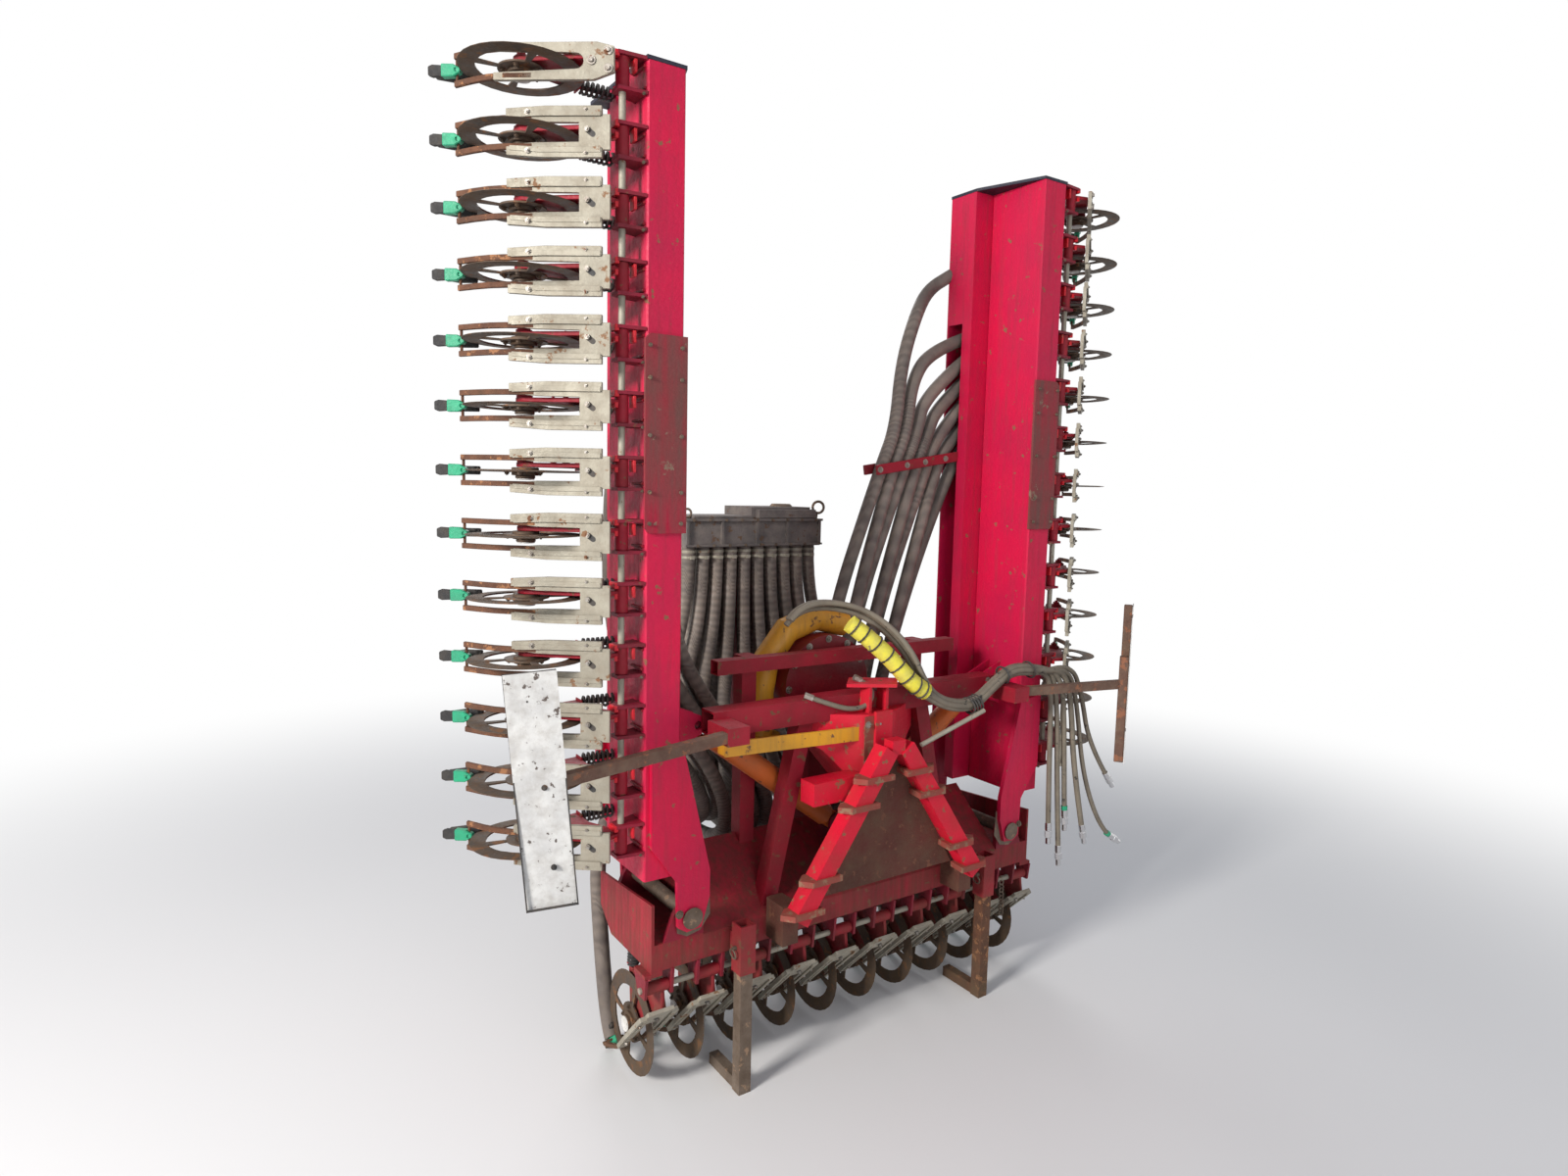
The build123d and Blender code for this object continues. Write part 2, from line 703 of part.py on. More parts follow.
def barrel():
    """Cylinder barrel, bored for the rod, with its foot eye."""
    body = bar_x(BARREL_START, BARREL_END, 0, 0, CYLINDER_RADIUS)
    body += bar_y(0, -EYE_HALF, EYE_HALF, 0, EYE_RADIUS)
    body += block(0, BARREL_START + 10, -EYE_HALF + 3, EYE_HALF - 3, -20, 20)
    body -= bar_x(BARREL_START + 30, BARREL_END + 1, 0, 0, PISTON_RADIUS + BORE_FIT)
    return cylinder_place() * (body - bar_y(0, -40, 40, 0, EYE_PIN + BORE_FIT))


def piston():
    """Cylinder rod with its eye."""
    body = bar_x(BARREL_START + 40, CYLINDER_LENGTH - 20, 0, 0, PISTON_RADIUS)
    eye = Pos(CYLINDER_LENGTH, 0, 0) * bar_y(0, -EYE_HALF, EYE_HALF, 0, EYE_RADIUS - 6)
    bore = Pos(CYLINDER_LENGTH, 0, 0) * bar_y(0, -40, 40, 0, EYE_PIN + BORE_FIT)
    return cylinder_place() * (body + eye - bore)


# Hoses


def centre_hose(index):
    """Hose from the distributor down to one centre coulter's outlet."""
    top = (index - (CENTRE_COULTERS - 1) / 2) * HOSE_PITCH
    low = (index - (CENTRE_COULTERS - 1) / 2) * PITCH
    end = (OUTLET_TOP + OUTLET_JOINT) / 2
    turn = radians(PARK_TILT)

    def parked(back):
        y, z = along_fork(end, back)
        return (low, ROD_Y + y * cos(turn) - z * sin(turn), ROD_Z + y * sin(turn) + z * cos(turn))

    seat = OUTLET_BACK + OUTLET_DEPTH / 2
    return hose(HOSE_RADIUS, [
        (top, HOSE_ROW_Y, BOX_LOW),
        (top, HOSE_ROW_Y, BOX_LOW - 300),
        (top + (low - top) * 0.4, HOSE_ROW_Y - 70, BOX_LOW - 700),
        (low, PANEL_BACK + 120, 760),
        (low, PANEL_BACK + 75, 400),
        parked(seat + 60),
        parked(seat),
    ])


# Upper routes of the right wing's hoses: X and Z from the clamp to the duct's mouth, all at one depth
CLAMP_ROUTES = (
    ((311, 2140), (383, 2300), (402, 2560), (469, 2761)),
    ((371, 2140), (443, 2300), (462, 2500), (560, 2630), (755, 2700)),
    ((431, 2140), (503, 2300), (530, 2440), (755, 2606)),
    ((491, 2140), (563, 2300), (600, 2390), (755, 2516)),
    ((551, 2140), (615, 2290), (755, 2420)),
    ((611, 2140), (650, 2225), (755, 2325)),
    ((665, 2110), (755, 2225)),
)


# Where the left wing's hoses rise behind its duct, and where they enter its back, in X and Z
BACK_ROUTES = (
    ((605, 2860), (790, 3010)),
    ((605, 1950), (745, 2100)),
    ((670, 2550), (750, 2700)),
    ((670, 1750), (745, 1900)),
    ((735, 2350), (760, 2500)),
    ((735, 1550), (745, 1700)),
    ((800, 2150), (800, 2300)),
)


def hose_rise(index):
    """Wing hose from the distributor, under the centre hoses and up behind the frame, and its depth there."""
    column, row = divmod(index, 2)
    x = WING_HOSE_FIRST + WING_HOSE_COLUMN * column
    y = WING_HOSE_Y + WING_HOSE_ROW * row
    low = WING_HOSE_LOW - WING_HOSE_STEP * row
    rise_y = (HOSE_RISE_BACK, HOSE_RISE_FRONT)[row]
    gap, place = ((PITCH, column), (2 * PITCH, column - 2))[column > 1]
    rise_x = gap + (place - 0.6) * HOSE_RISE_COLUMN
    points = [(x, y, BOX_LOW), (x, y, low + 620), (rise_x, y - 60, low), (rise_x, rise_y, low)]
    points.append((rise_x, rise_y, HOSE_TURN_Z - HOSE_TURN_STEP * (column % 2)))
    return points, rise_y


def clamped_hose(index, route):
    """Hose to the right wing, over the clamp and into the mouth of the duct."""
    points, rise_y = hose_rise(index)
    points.append((HOSE_SPREAD_X + HOSE_SPREAD * index, rise_y, HOSE_SPREAD_Z))
    points += [(x, DUCT_MOUTH_Y, z) for x, z in route]
    if index == 0:
        points += [(620, DUCT_BACK + 48, 2900), (790, DUCT_BACK, 3010)]
    return hose(WING_HOSE_RADIUS, points)


def hidden_hose(index, route):
    """Hose to the left wing, up behind the duct and into its back, drawn on the right."""
    points, rise_y = hose_rise(index)
    (rise_x, rise_z), (end_x, end_z) = route
    points += [(rise_x, rise_y, HOSE_SPREAD_Z - HOSE_TURN_STEP * (index // 2)), (rise_x, rise_y, rise_z)]
    points.append((end_x, DUCT_BACK - DUCT_WALL, end_z))
    return hose(WING_HOSE_RADIUS, points)


# Frame nodes

apron = plate_yz(apron_outline(), -BEAM_HALF, BEAM_HALF)
right_end = end_box()
centre_beam = apron + right_end + mirror(right_end, about=Plane.YZ)
save("centre_beam", centre_beam)

right_hinge = [
    hinge_lug(PANEL_FRONT, PANEL_FRONT + HINGE_LUG_THICKNESS),
    hinge_lug(PANEL_BACK - HINGE_LUG_THICKNESS, PANEL_BACK),
]
hinge_pin = bar_y(PIN_X, FRONT_GUSSET[0] - PIN_END, BACK_GUSSET[1] + PIN_END, PIN_Z, PIN_RADIUS)

end_lug_top = ROD_DROP - RUNNING_GAP - END_FOOT
parked_spring_top = (ROD_DROP - FIT - (SPRING_BACK + SPRING_RADIUS) * sin(radians(PARK_TILT))) / cos(
    radians(PARK_TILT)
)
CENTRE = range(CENTRE_COULTERS)
save("centre_lugs", row_of_lugs(centre_place, CENTRE_COULTERS, end_lug_top))
save("centre_rods", row_of_rods(centre_place, CENTRE_COULTERS))
save("centre_arms", [parked_place(i) * arm() for i in CENTRE])
save("centre_springs", [parked_place(i) * spring(parked_spring_top) for i in CENTRE])
save("centre_forks", [parked_place(i) * fork() for i in CENTRE])
save("centre_outlets", [parked_place(i) * outlet() for i in CENTRE])
save("centre_discs", [parked_place(i) * disc() for i in CENTRE])

right_leg = leg()
apex = block(-30, 30, HITCH_Y - 24, HITCH_Y + 24, HITCH_APEX - 20, HITCH_APEX + 32)
save("hitch_legs", right_leg + mirror(right_leg, about=Plane.YZ) + apex)
collars = [collar(share) - right_leg for share in COLLAR_SHARES]
save("hitch_collars", collars, mirrored(collars))

web = [(-330, WEB_LOW), (330, WEB_LOW), (60, WEB_HIGH), (-60, WEB_HIGH)]
foot_block = block(
    HITCH_HALF - LEG_SIZE / 2, HITCH_HALF + LEG_SIZE / 2, HITCH_BACK, PANEL_FRONT, HITCH_BLOCK_LOW, WEB_LOW
)
foot_block -= centre_beam
web_back = HITCH_BACK + WEB_THICKNESS
save(
    "hitch_web",
    plate_xz(web, HITCH_BACK, web_back),
    block(-HEAD_NOSE, HEAD_NOSE, web_back, HEAD_FRONT, HEAD_LOW, HEAD_LOW + 36),
    foot_block,
    mirrored(foot_block),
)
cross_low, cross_top = CROSS_Z - CROSS_SIZE / 2, CROSS_Z + CROSS_SIZE / 2
cross_outside = block(-CROSS_HALF, CROSS_HALF, CROSS_FRONT, CROSS_FRONT + CROSS_SIZE, cross_low, cross_top)
head_block = head() - cross_outside
save("head_block", head_block)
stub_half = STUB_SIZE / 2
stub = block(-STUB_END, -100, web_back, web_back + STUB_SIZE, STUB_Z - stub_half, STUB_Z + stub_half)
save("hitch_stub", stub - head_block)
turret = [(-120, HEAD_FRONT + 60), (40, HEAD_FRONT - 30), (120, HEAD_FRONT + 60), (-40, HEAD_FRONT + 150)]
turret_plate = plate_xy(turret, TURRET_Z, TURRET_Z + TURRET_PLATE)
for x in (-45, 33):
    turret_plate += block(x, x + TURRET_PLATE, HEAD_FRONT + 20, CROSS_FRONT - FIT, HEAD_TOP, TURRET_Z)
nose_plate = block(-38, 38, HEAD_FRONT - HEAD_PLATE, HEAD_FRONT, HEAD_LOW + 40, HEAD_TOP + 10)
save("head_plates", turret_plate, nose_plate)
save("cross_beam", tube_x(CROSS_HALF, CROSS_Y, CROSS_Z, CROSS_SIZE, CROSS_WALL))

right_strut = strut(
    (STRUT_FOOT_X, CROSS_Y, FRAME_BOTTOM + 60), (STRUT_TOP_X, CROSS_Y, cross_low + 60), STRUT_SIZE, STRUT_SIZE
)
right_strut -= centre_beam
right_strut -= cross_outside
right_strut -= block(-RAIL_HALF, RAIL_HALF, PANEL_FRONT, PANEL_BACK, cross_low, RAIL_Z)
right_strut -= head_block

rail_back, rail_top = RAIL_Y + RAIL_SIZE / 2, RAIL_Z + RAIL_SIZE / 2
post_low, post_high = POST_X - POST_SIZE / 2, POST_X + POST_SIZE / 2
right_post = block(post_low, post_high, rail_back, rail_back + POST_SIZE, FRAME_BOTTOM, rail_top)
right_post -= centre_beam
save("rear_rail", tube_x(RAIL_HALF, RAIL_Y, RAIL_Z, RAIL_SIZE, RAIL_WALL))

outer = STAND_SIZE / 2 + STAND_FIT + SLEEVE_WALL
inner = STAND_SIZE / 2 + STAND_FIT
sleeve = block(STAND_X - outer, STAND_X + outer, STAND_Y - outer, STAND_Y + outer, SLEEVE_LOW, SLEEVE_TOP)
sleeve += block(STAND_X - 20, STAND_X + 20, STAND_Y, PANEL_FRONT, FRAME_BOTTOM + 5, FRAME_BOTTOM + 70)
sleeve -= block(
    STAND_X - inner, STAND_X + inner, STAND_Y - inner, STAND_Y + inner, SLEEVE_LOW - 60, SLEEVE_TOP + 1
)
save("stand_sleeves", sleeve, mirrored(sleeve))
half = STAND_SIZE / 2
stand = block(STAND_X - half, STAND_X + half, STAND_Y - half, STAND_Y + half, 0, STAND_TOP)
half = STAND_FOOT_WIDTH / 2
stand += block(STAND_X - half, STAND_X + half, STAND_Y, STAND_Y + STAND_FOOT_BACK, 0, STAND_FOOT_HEIGHT)
save("stand_right", stand)
save("stand_left", mirrored(stand))

# Drum, slurry pipe and tie bar

drum_back = DRUM_FRONT + DRUM_DEPTH
drum = bar_y(DRUM_X, DRUM_FRONT, drum_back, DRUM_Z, DRUM_RADIUS)
drum += block(DRUM_X - 30, DRUM_X + 30, rail_back, DRUM_FRONT + 1, RAIL_Z - 20, RAIL_Z + 20)
save("drum", drum)
drum_foot = block(
    DRUM_X - DRUM_FOOT_HALF, DRUM_X + DRUM_FOOT_HALF, DRUM_FRONT + 30, drum_back - 30, FRAME_BOTTOM, DRUM_Z
)
drum_foot -= drum
drum_foot -= centre_beam
drum_foot = max(drum_foot.solids(), key=lambda solid: solid.volume)
save("frame_posts", drum_foot, right_post, mirrored(right_post), right_strut, mirrored(right_strut))

pipe_y = DRUM_FRONT + DRUM_DEPTH / 2


def round_drum(angle, radius):
    """Point round the drum, in X and Z."""
    return (DRUM_X + radius * cos(radians(angle)), DRUM_Z + radius * sin(radians(angle)))


route = [round_drum(angle, PIPE_BEND) for angle in (60, 92, 124, 156, 184)]
route.append((route[-1][0], PIPE_LOW))
points = [(x, pipe_y, z) for x, z in route]
pipe = mitred(points, Circle(PIPE_RADIUS))
flange_x = route[-1][0]
flange_z = PIPE_LOW + PIPE_FLANGE_THICKNESS / 2
pipe += Pos(flange_x, pipe_y, flange_z) * Cylinder(PIPE_FLANGE, PIPE_FLANGE_THICKNESS)
pipe -= Pos(flange_x, pipe_y, PIPE_LOW + 45) * Cylinder(PIPE_RADIUS - PIPE_WALL, 92)
saddle_low, saddle_high = pipe_y - SADDLE_HALF, pipe_y + SADDLE_HALF
saddle = block(DRUM_X - PIPE_BEND, DRUM_X, saddle_low, saddle_high, DRUM_Z + 80, DRUM_Z + 110)
saddle -= bar_y(DRUM_X, DRUM_FRONT, drum_back, DRUM_Z, DRUM_RADIUS + FIT)
saddle -= mitred(points, Circle(PIPE_RADIUS + FIT))
save("slurry_pipe", pipe)
saddle = max(saddle.solids(), key=lambda solid: solid.volume)

bars, boards, brackets = [], [], []
for board_x, board_z, turn, lean, bar_start, bar_end in MARKERS:
    place = Pos(board_x, BOARD_Y, board_z) * Rot(0, lean, turn)
    board = place * Box(BOARD_WIDTH, BOARD_THICKNESS, BOARD_HEIGHT)
    bar = strut(bar_start, bar_end, BAR_SIZE, BAR_SIZE)
    outer = max((bar - board).solids(), key=lambda solid: solid.volume)
    x_low, x_high = sorted((copysign(BRACKET_INNER, board_x), copysign(BRACKET_OUTER, board_x)))
    bracket = block(x_low, x_high, bar_start[1] - 30, CROSS_FRONT, BRACKET_LOW, BRACKET_TOP) - bar
    bars.append(outer)
    boards.append(board)
    brackets.append(max(bracket.solids(), key=lambda solid: solid.center().Y))
save("marker_bars", bars)
save("marker_boards", boards)
save("brackets", brackets, saddle)

tie = strut(TIE_START, TIE_END, TIE_WIDTH, TIE_THICKNESS) - head_block
tie = max(tie.solids(), key=lambda solid: solid.volume)
tie_back = TIE_Y + TIE_THICKNESS / 2
hanger = block(-640, -610, tie_back, CROSS_FRONT, TIE_START[2] - TIE_WIDTH / 2, BRACKET_LOW)
save("tie_bar", tie + hanger)

# Distributor and its hoses

box_back = BOX_FRONT + BOX_DEPTH
distributor = block(-BOX_HALF, BOX_HALF, BOX_FRONT, box_back, BOX_LOW, BOX_HIGH)
distributor += block(LID_LOW_X, LID_HIGH_X, BOX_FRONT + 20, box_back - 40, BOX_HIGH, BOX_HIGH + LID_HEIGHT)
save("distributor_box", distributor)
mast_back = MAST_FRONT + MAST_DEPTH
mast = block(-MAST_HALF, MAST_HALF, PANEL_BACK, mast_back, MAST_FOOT_LOW, MAST_FOOT_HIGH)
mast += block(-MAST_HALF, MAST_HALF, MAST_FRONT, mast_back, MAST_FOOT_LOW, BOX_LOW)
save("distributor_mast", mast)
save("centre_hoses", [centre_hose(index) for index in CENTRE])
duct_room = block(DUCT_INNER, DUCT_OUTER, TOWER_BACK, DUCT_BACK, TOWER_BOTTOM, TOWER_TOP)
right_hoses = [clamped_hose(index, route) for index, route in enumerate(CLAMP_ROUTES)]
right_hoses[0] -= duct_room
save("hoses_right", right_hoses)
left_hoses = [hidden_hose(index, route) - duct_room for index, route in enumerate(BACK_ROUTES)]
save("hoses_left", mirrored(left_hoses))

# Fold cylinders

foot_x, foot_z = CYLINDER_FOOT
foot_outline = [
    (foot_x - FOOT_HALF, FRAME_BOTTOM + FOOT_ROOT),
    (foot_x + FOOT_HALF, FRAME_BOTTOM + FOOT_ROOT),
    (foot_x + 26, foot_z + 20),
    (foot_x, foot_z + 32),
    (foot_x - 26, foot_z + 20),
]
feet = [plate - centre_beam for plate in clevis(foot_outline, foot_x, foot_z)]
reach = CLEVIS_HALF + CLEVIS_PLATE
foot_pin = bar_y(foot_x, CYLINDER_Y - reach, CYLINDER_Y + reach, foot_z, EYE_PIN)
save("pin_lugs", right_hinge, feet, mirrored(right_hinge), mirrored(feet))
save("pins", hinge_pin, foot_pin, mirrored(hinge_pin), mirrored(foot_pin))
right_barrel, right_piston = barrel(), piston()
save("barrel_right", right_barrel)
save("barrel_left", mirrored(right_barrel))
save("piston_right", right_piston)
save("piston_left", mirrored(right_piston))

# Wings

WING = range(WING_COULTERS)
wing_beam = tower() + gusset(*FRONT_GUSSET) + gusset(*BACK_GUSSET)
for ear in wing_ears():
    wing_beam += ear
wing_nodes = {
    "beam": wing_beam,
    "doubler": doubler(),
    "lugs": row_of_lugs(wing_place, WING_COULTERS, ROD_DROP),
    "rods": row_of_rods(wing_place, WING_COULTERS),
    "arms": [wing_place(i) * arm() for i in WING],
    "springs": [wing_place(i) * spring(ROD_DROP) for i in WING],
    "forks": [wing_place(i) * fork() for i in WING],
    "outlets": [wing_place(i) * outlet() for i in WING],
    "discs": [wing_place(i) * disc() for i in WING],
}
for name, shapes in wing_nodes.items():
    save(f"right_{name}", shapes)
    save(f"left_{name}", mirrored(shapes))
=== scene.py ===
"""Looks of the folded slurry injector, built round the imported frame. Lengths are metres."""

import logging
import math
from dataclasses import dataclass
from enum import Enum
from typing import Iterable, Optional, Sequence

import bmesh
import bpy
from mathutils import Matrix, Vector


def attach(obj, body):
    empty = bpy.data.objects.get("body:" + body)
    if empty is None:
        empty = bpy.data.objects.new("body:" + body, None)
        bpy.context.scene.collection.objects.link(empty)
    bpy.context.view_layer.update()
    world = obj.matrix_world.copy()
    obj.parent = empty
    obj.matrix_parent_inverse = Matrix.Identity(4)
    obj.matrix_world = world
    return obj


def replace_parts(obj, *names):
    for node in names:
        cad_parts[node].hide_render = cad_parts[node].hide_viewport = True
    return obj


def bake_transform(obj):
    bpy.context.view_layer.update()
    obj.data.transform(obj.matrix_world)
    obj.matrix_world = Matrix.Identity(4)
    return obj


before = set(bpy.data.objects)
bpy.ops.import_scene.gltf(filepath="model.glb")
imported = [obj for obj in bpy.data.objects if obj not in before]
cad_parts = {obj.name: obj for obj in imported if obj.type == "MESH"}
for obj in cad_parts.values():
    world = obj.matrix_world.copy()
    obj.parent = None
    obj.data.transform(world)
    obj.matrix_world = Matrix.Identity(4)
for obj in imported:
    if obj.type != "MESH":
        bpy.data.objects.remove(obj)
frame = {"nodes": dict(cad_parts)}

log = logging.getLogger("injector")
Point = tuple[float, float, float]
Pair = tuple[float, float]
Colour = tuple[float, float, float]
Socket = bpy.types.NodeSocket

MM = 0.001
FRONT = -0.438
BACK = FRONT + 0.418
DUCT_MOUTH = FRONT + 0.369
ROD_Y = FRONT + 0.033
ROD_Z = 0.420
ROD_PAST = 0.060
WING_ROD_X = 0.980
PITCH = 0.190
CENTRE_COUNT = 10
WING_COUNT = 13
CENTRE_STEPS = tuple(index - (CENTRE_COUNT - 1) / 2 for index in range(CENTRE_COUNT))
WING_HEIGHTS = tuple(0.945 + index * PITCH for index in range(WING_COUNT))
PARK_TILT = math.radians(6.8628)
FORK_TURN = math.radians(37.7)
SHARP_ANGLE = math.radians(40)
HOSE_BEVEL = 3
FORWARD = (0, -1, 0)
UP = (0, 0, 1)
MUD_COLOUR = (0.11, 0.075, 0.045)


class Side(Enum):
    """The two wings."""

    RIGHT = 1
    LEFT = -1

    @property
    def word(self) -> str:
        """Name used in nodes and bodies."""
        return self.name.lower()

    @property
    def wing(self) -> str:
        """The wing's body."""
        return f"wing_{self.word}"


class Spread(Enum):
    """How a finish's dirt lies on a surface."""

    PATCHES = "patches"
    STREAKS = "streaks"


@dataclass(frozen=True)
class Finish:
    """A procedural finish: a base colour that fades, wears through and gathers dirt."""

    name: str
    slot: str
    base: Colour
    faded: Colour
    dirt: Colour
    worn: Colour
    roughness: float = 0.45
    metallic: float = 0.0
    fade_scale: float = 3.0
    dirt_share: float = 0.35
    wear_share: float = 0.12
    wear_scale: float = 26.0
    grain: float = 90.0
    bump: float = 0.15
    coat: float = 0.0
    mud_height: float = 0.0
    spread: Spread = Spread.PATCHES

    def material(self) -> bpy.types.Material:
        """Build the node material once and return it.

        Returns:
            The material.
        """
        made, nodes = started(self.name)
        if not nodes:
            return made
        place = nodes.add("ShaderNodeTexCoord").outputs["Object"]
        stretched = nodes.add("ShaderNodeMapping", {"Vector": place, "Scale": self._stretch()}).outputs[0]
        fade = nodes.noise(place, self.fade_scale, 4.0, (0.35, 0.65))
        colour = nodes.blend(fade, self.base, self.faded)
        streak = nodes.noise(stretched, self.fade_scale * 2.2, 6.0, (0.62 - self.dirt_share * 0.35, 0.75))
        dirty = nodes.maths("MULTIPLY", streak, self.dirt_share)
        colour = nodes.blend(dirty, colour, self.dirt)
        edge = 0.69 - self.wear_share * 0.5
        chips = nodes.noise(place, self.wear_scale, 9.0, (edge, edge + 0.035))
        colour = nodes.blend(chips, colour, self.worn)
        speck = nodes.noise(place, self.grain, 5.0, (0.3, 0.7))
        rough = nodes.ranged(speck, target=(self.roughness - 0.08, self.roughness + 0.1))
        rough = nodes.turned(dirty, rough, 0.85)
        rough = nodes.turned(chips, rough, 0.75)
        if self.mud_height:
            mud = nodes.height_mask(place, self.mud_height)
            colour = nodes.blend(mud, colour, MUD_COLOUR)
            rough = nodes.turned(mud, rough, 0.95)
        nodes.shade({
            "Base Color": colour, "Roughness": rough, "Metallic": self.metallic, "Specular IOR Level": 0.30,
            "Coat Weight": self.coat, "Coat Roughness": 0.25,
            "Normal": nodes.bumped(nodes.turned(chips, speck, 0.0), self.bump),
        })
        return made

    def _stretch(self) -> Point:
        """Scales of the dirt's coordinates."""
        return (7.0, 7.0, 0.6) if self.spread is Spread.STREAKS else (1.0, 1.0, 1.0)


class Graph:
    """Short words for the nodes of one tree."""

    def __init__(self, tree: bpy.types.NodeTree, output: str = "ShaderNodeOutputMaterial") -> None:
        """Empty the tree and give it an output.

        Args:
            tree: the node tree.
            output: type of its output node.
        """
        self.tree = tree
        tree.nodes.clear()
        self.output = tree.nodes.new(output)

    def add(self, kind: str, inputs: Optional[dict] = None, **values: object) -> bpy.types.Node:
        """Add one node.

        Args:
            kind: the node's type.
            inputs: what each input takes, a socket to link or a value.
            values: the node's properties.

        Returns:
            The node.
        """
        node = self.tree.nodes.new(kind)
        for name, value in values.items():
            setattr(node, name, value)
        for key, value in (inputs or {}).items():
            if isinstance(value, Socket):
                self.tree.links.new(value, node.inputs[key])
            else:
                node.inputs[key].default_value = value
        return node

    def show(self, node: bpy.types.Node) -> None:
        """Send a shader to the output."""
        self.tree.links.new(node.outputs[0], self.output.inputs["Surface"])

    def shade(self, inputs: dict) -> None:
        """Finish the tree with one surface shader."""
        self.show(self.add("ShaderNodeBsdfPrincipled", inputs))

    def maths(self, operation: str, first: Socket, second: object) -> Socket:
        """Result of one operation on two values."""
        return self.add("ShaderNodeMath", {0: first, 1: second}, operation=operation).outputs[0]

    def ranged(self, value: Socket, source: Pair = (0.0, 1.0), target: Pair = (0.0, 1.0),
               smooth: bool = False) -> Socket:
        """Value carried from one range to another, with soft ends where it is smooth.

        Args:
            value: what is carried over.
            source: the range that it comes from.
            target: the range that it goes to.
            smooth: whether it eases in and out.

        Returns:
            The new value.
        """
        inputs = {"Value": value, "From Min": source[0], "From Max": source[1],
                  "To Min": target[0], "To Max": target[1]}
        kind = "SMOOTHSTEP" if smooth else "LINEAR"
        return self.add("ShaderNodeMapRange", inputs, interpolation_type=kind).outputs["Result"]

    def noise(self, place: Socket, scale: float, detail: float, source: Pair) -> Socket:
        """Noise as a mask.

        Args:
            place: coordinates.
            scale: repeats in a metre.
            detail: octaves.
            source: values that give 0 and 1.

        Returns:
            The mask's socket.
        """
        inputs = {"Vector": place, "Scale": scale, "Detail": detail, "Roughness": 0.62}
        return self.ranged(self.add("ShaderNodeTexNoise", inputs).outputs["Fac"], source)

    def turned(self, mask: Socket, value: Socket, other: float) -> Socket:
        """Value that becomes another where the mask is 1."""
        return self.add("ShaderNodeMix", {0: mask, 2: value, 3: other}, data_type="FLOAT").outputs[0]

    def blend(self, mask: Socket, first: object, second: object) -> Socket:
        """Colour that turns from the first to the second where the mask is 1."""
        ends = [(*colour, 1.0) if isinstance(colour, tuple) else colour for colour in (first, second)]
        return self.add("ShaderNodeMix", {0: mask, 6: ends[0], 7: ends[1]}, data_type="RGBA").outputs[2]

    def height_mask(self, place: Socket, height: float) -> Socket:
        """Mask that is 1 at the floor and patchy up to a height.

        Args:
            place: coordinates.
            height: where the mask ends.

        Returns:
            The mask.
        """
        parts = self.add("ShaderNodeSeparateXYZ", {"Vector": place})
        level = self.ranged(parts.outputs["Z"], (0.0, height), (1.0, 0.0))
        return self.maths("MULTIPLY", level, self.noise(place, 14.0, 7.0, (0.3, 0.62)))

    def shown_rays(self) -> Socket:
        """Socket that is 1 for camera, glossy and transmission rays.

        Returns:
            The socket.
        """
        rays = self.add("ShaderNodeLightPath").outputs
        seen = self.maths("MAXIMUM", rays["Is Camera Ray"], rays["Is Glossy Ray"])
        return self.maths("MAXIMUM", seen, rays["Is Transmission Ray"])

    def bumped(self, height: Socket, strength: float) -> Socket:
        """Normal from a height."""
        inputs = {"Height": height, "Strength": strength, "Distance": 0.004}
        return self.add("ShaderNodeBump", inputs).outputs["Normal"]


def started(name: str) -> tuple[bpy.types.Material, Optional[Graph]]:
    """Material of a name, with an empty graph where it is new.

    Args:
        name: the material's name.

    Returns:
        The material, and its graph or nothing.
    """
    known = bpy.data.materials.get(name)
    if known:
        return known, None
    made = bpy.data.materials.new(name)
    made.use_nodes = True
    return made, Graph(made.node_tree)


RED = Finish(
    "crimson_enamel", "red_paint", (0.60, 0.004, 0.050), (0.47, 0.006, 0.052), (0.17, 0.030, 0.040),
    (0.22, 0.10, 0.055), roughness=0.48, dirt_share=0.4, mud_height=0.75, wear_share=0.10,
    spread=Spread.STREAKS,
)
BRIGHT_RED = Finish(
    "bright_red_paint", "red_paint", (0.62, 0.010, 0.022), (0.55, 0.020, 0.030), (0.22, 0.05, 0.03),
    (0.25, 0.10, 0.06), roughness=0.42, dirt_share=0.25, wear_share=0.08,
)
# centre beam: the darker red base is painted shade on the beam; the mud and dirt streaks over it are dirt
BEAM_SHADE_RED = Finish(
    "muddy_beam_red", "red_paint", (0.36, 0.005, 0.024), (0.22, 0.008, 0.020), (0.075, 0.028, 0.018),
    (0.15, 0.065, 0.035), roughness=0.55, dirt_share=0.85, wear_share=0.16, mud_height=0.72,
    spread=Spread.STREAKS,
)
# lugs: the dark red base is painted shade between the lugs; the mud and dirt over it are dirt
LUG_SHADE_RED = Finish(
    "lug_red_painted_shade", "red_paint", (0.25, 0.004, 0.024), (0.17, 0.006, 0.020), (0.075, 0.028, 0.022),
    (0.15, 0.065, 0.035), roughness=0.5, dirt_share=0.6, mud_height=0.5,
)
HEAD_RED = Finish(
    "head_red_paint", "red_paint", (0.64, 0.006, 0.030), (0.50, 0.010, 0.028), (0.22, 0.040, 0.025),
    (0.26, 0.10, 0.055), dirt_share=0.45, wear_share=0.16,
)
DARK_RED = Finish(
    "deep_red_enamel", "dark_red_paint", (0.27, 0.004, 0.018), (0.31, 0.010, 0.024), (0.085, 0.026, 0.020),
    (0.15, 0.065, 0.035), roughness=0.52, dirt_share=0.6, wear_share=0.16, mud_height=0.7,
)
GALVANISED = Finish(
    "galvanised_steel", "galvanised", (0.37, 0.345, 0.28), (0.28, 0.26, 0.21), (0.24, 0.20, 0.15),
    (0.22, 0.12, 0.065), roughness=0.55, metallic=0.30, fade_scale=9.0, dirt_share=0.6, wear_share=0.14,
    grain=140.0,
)
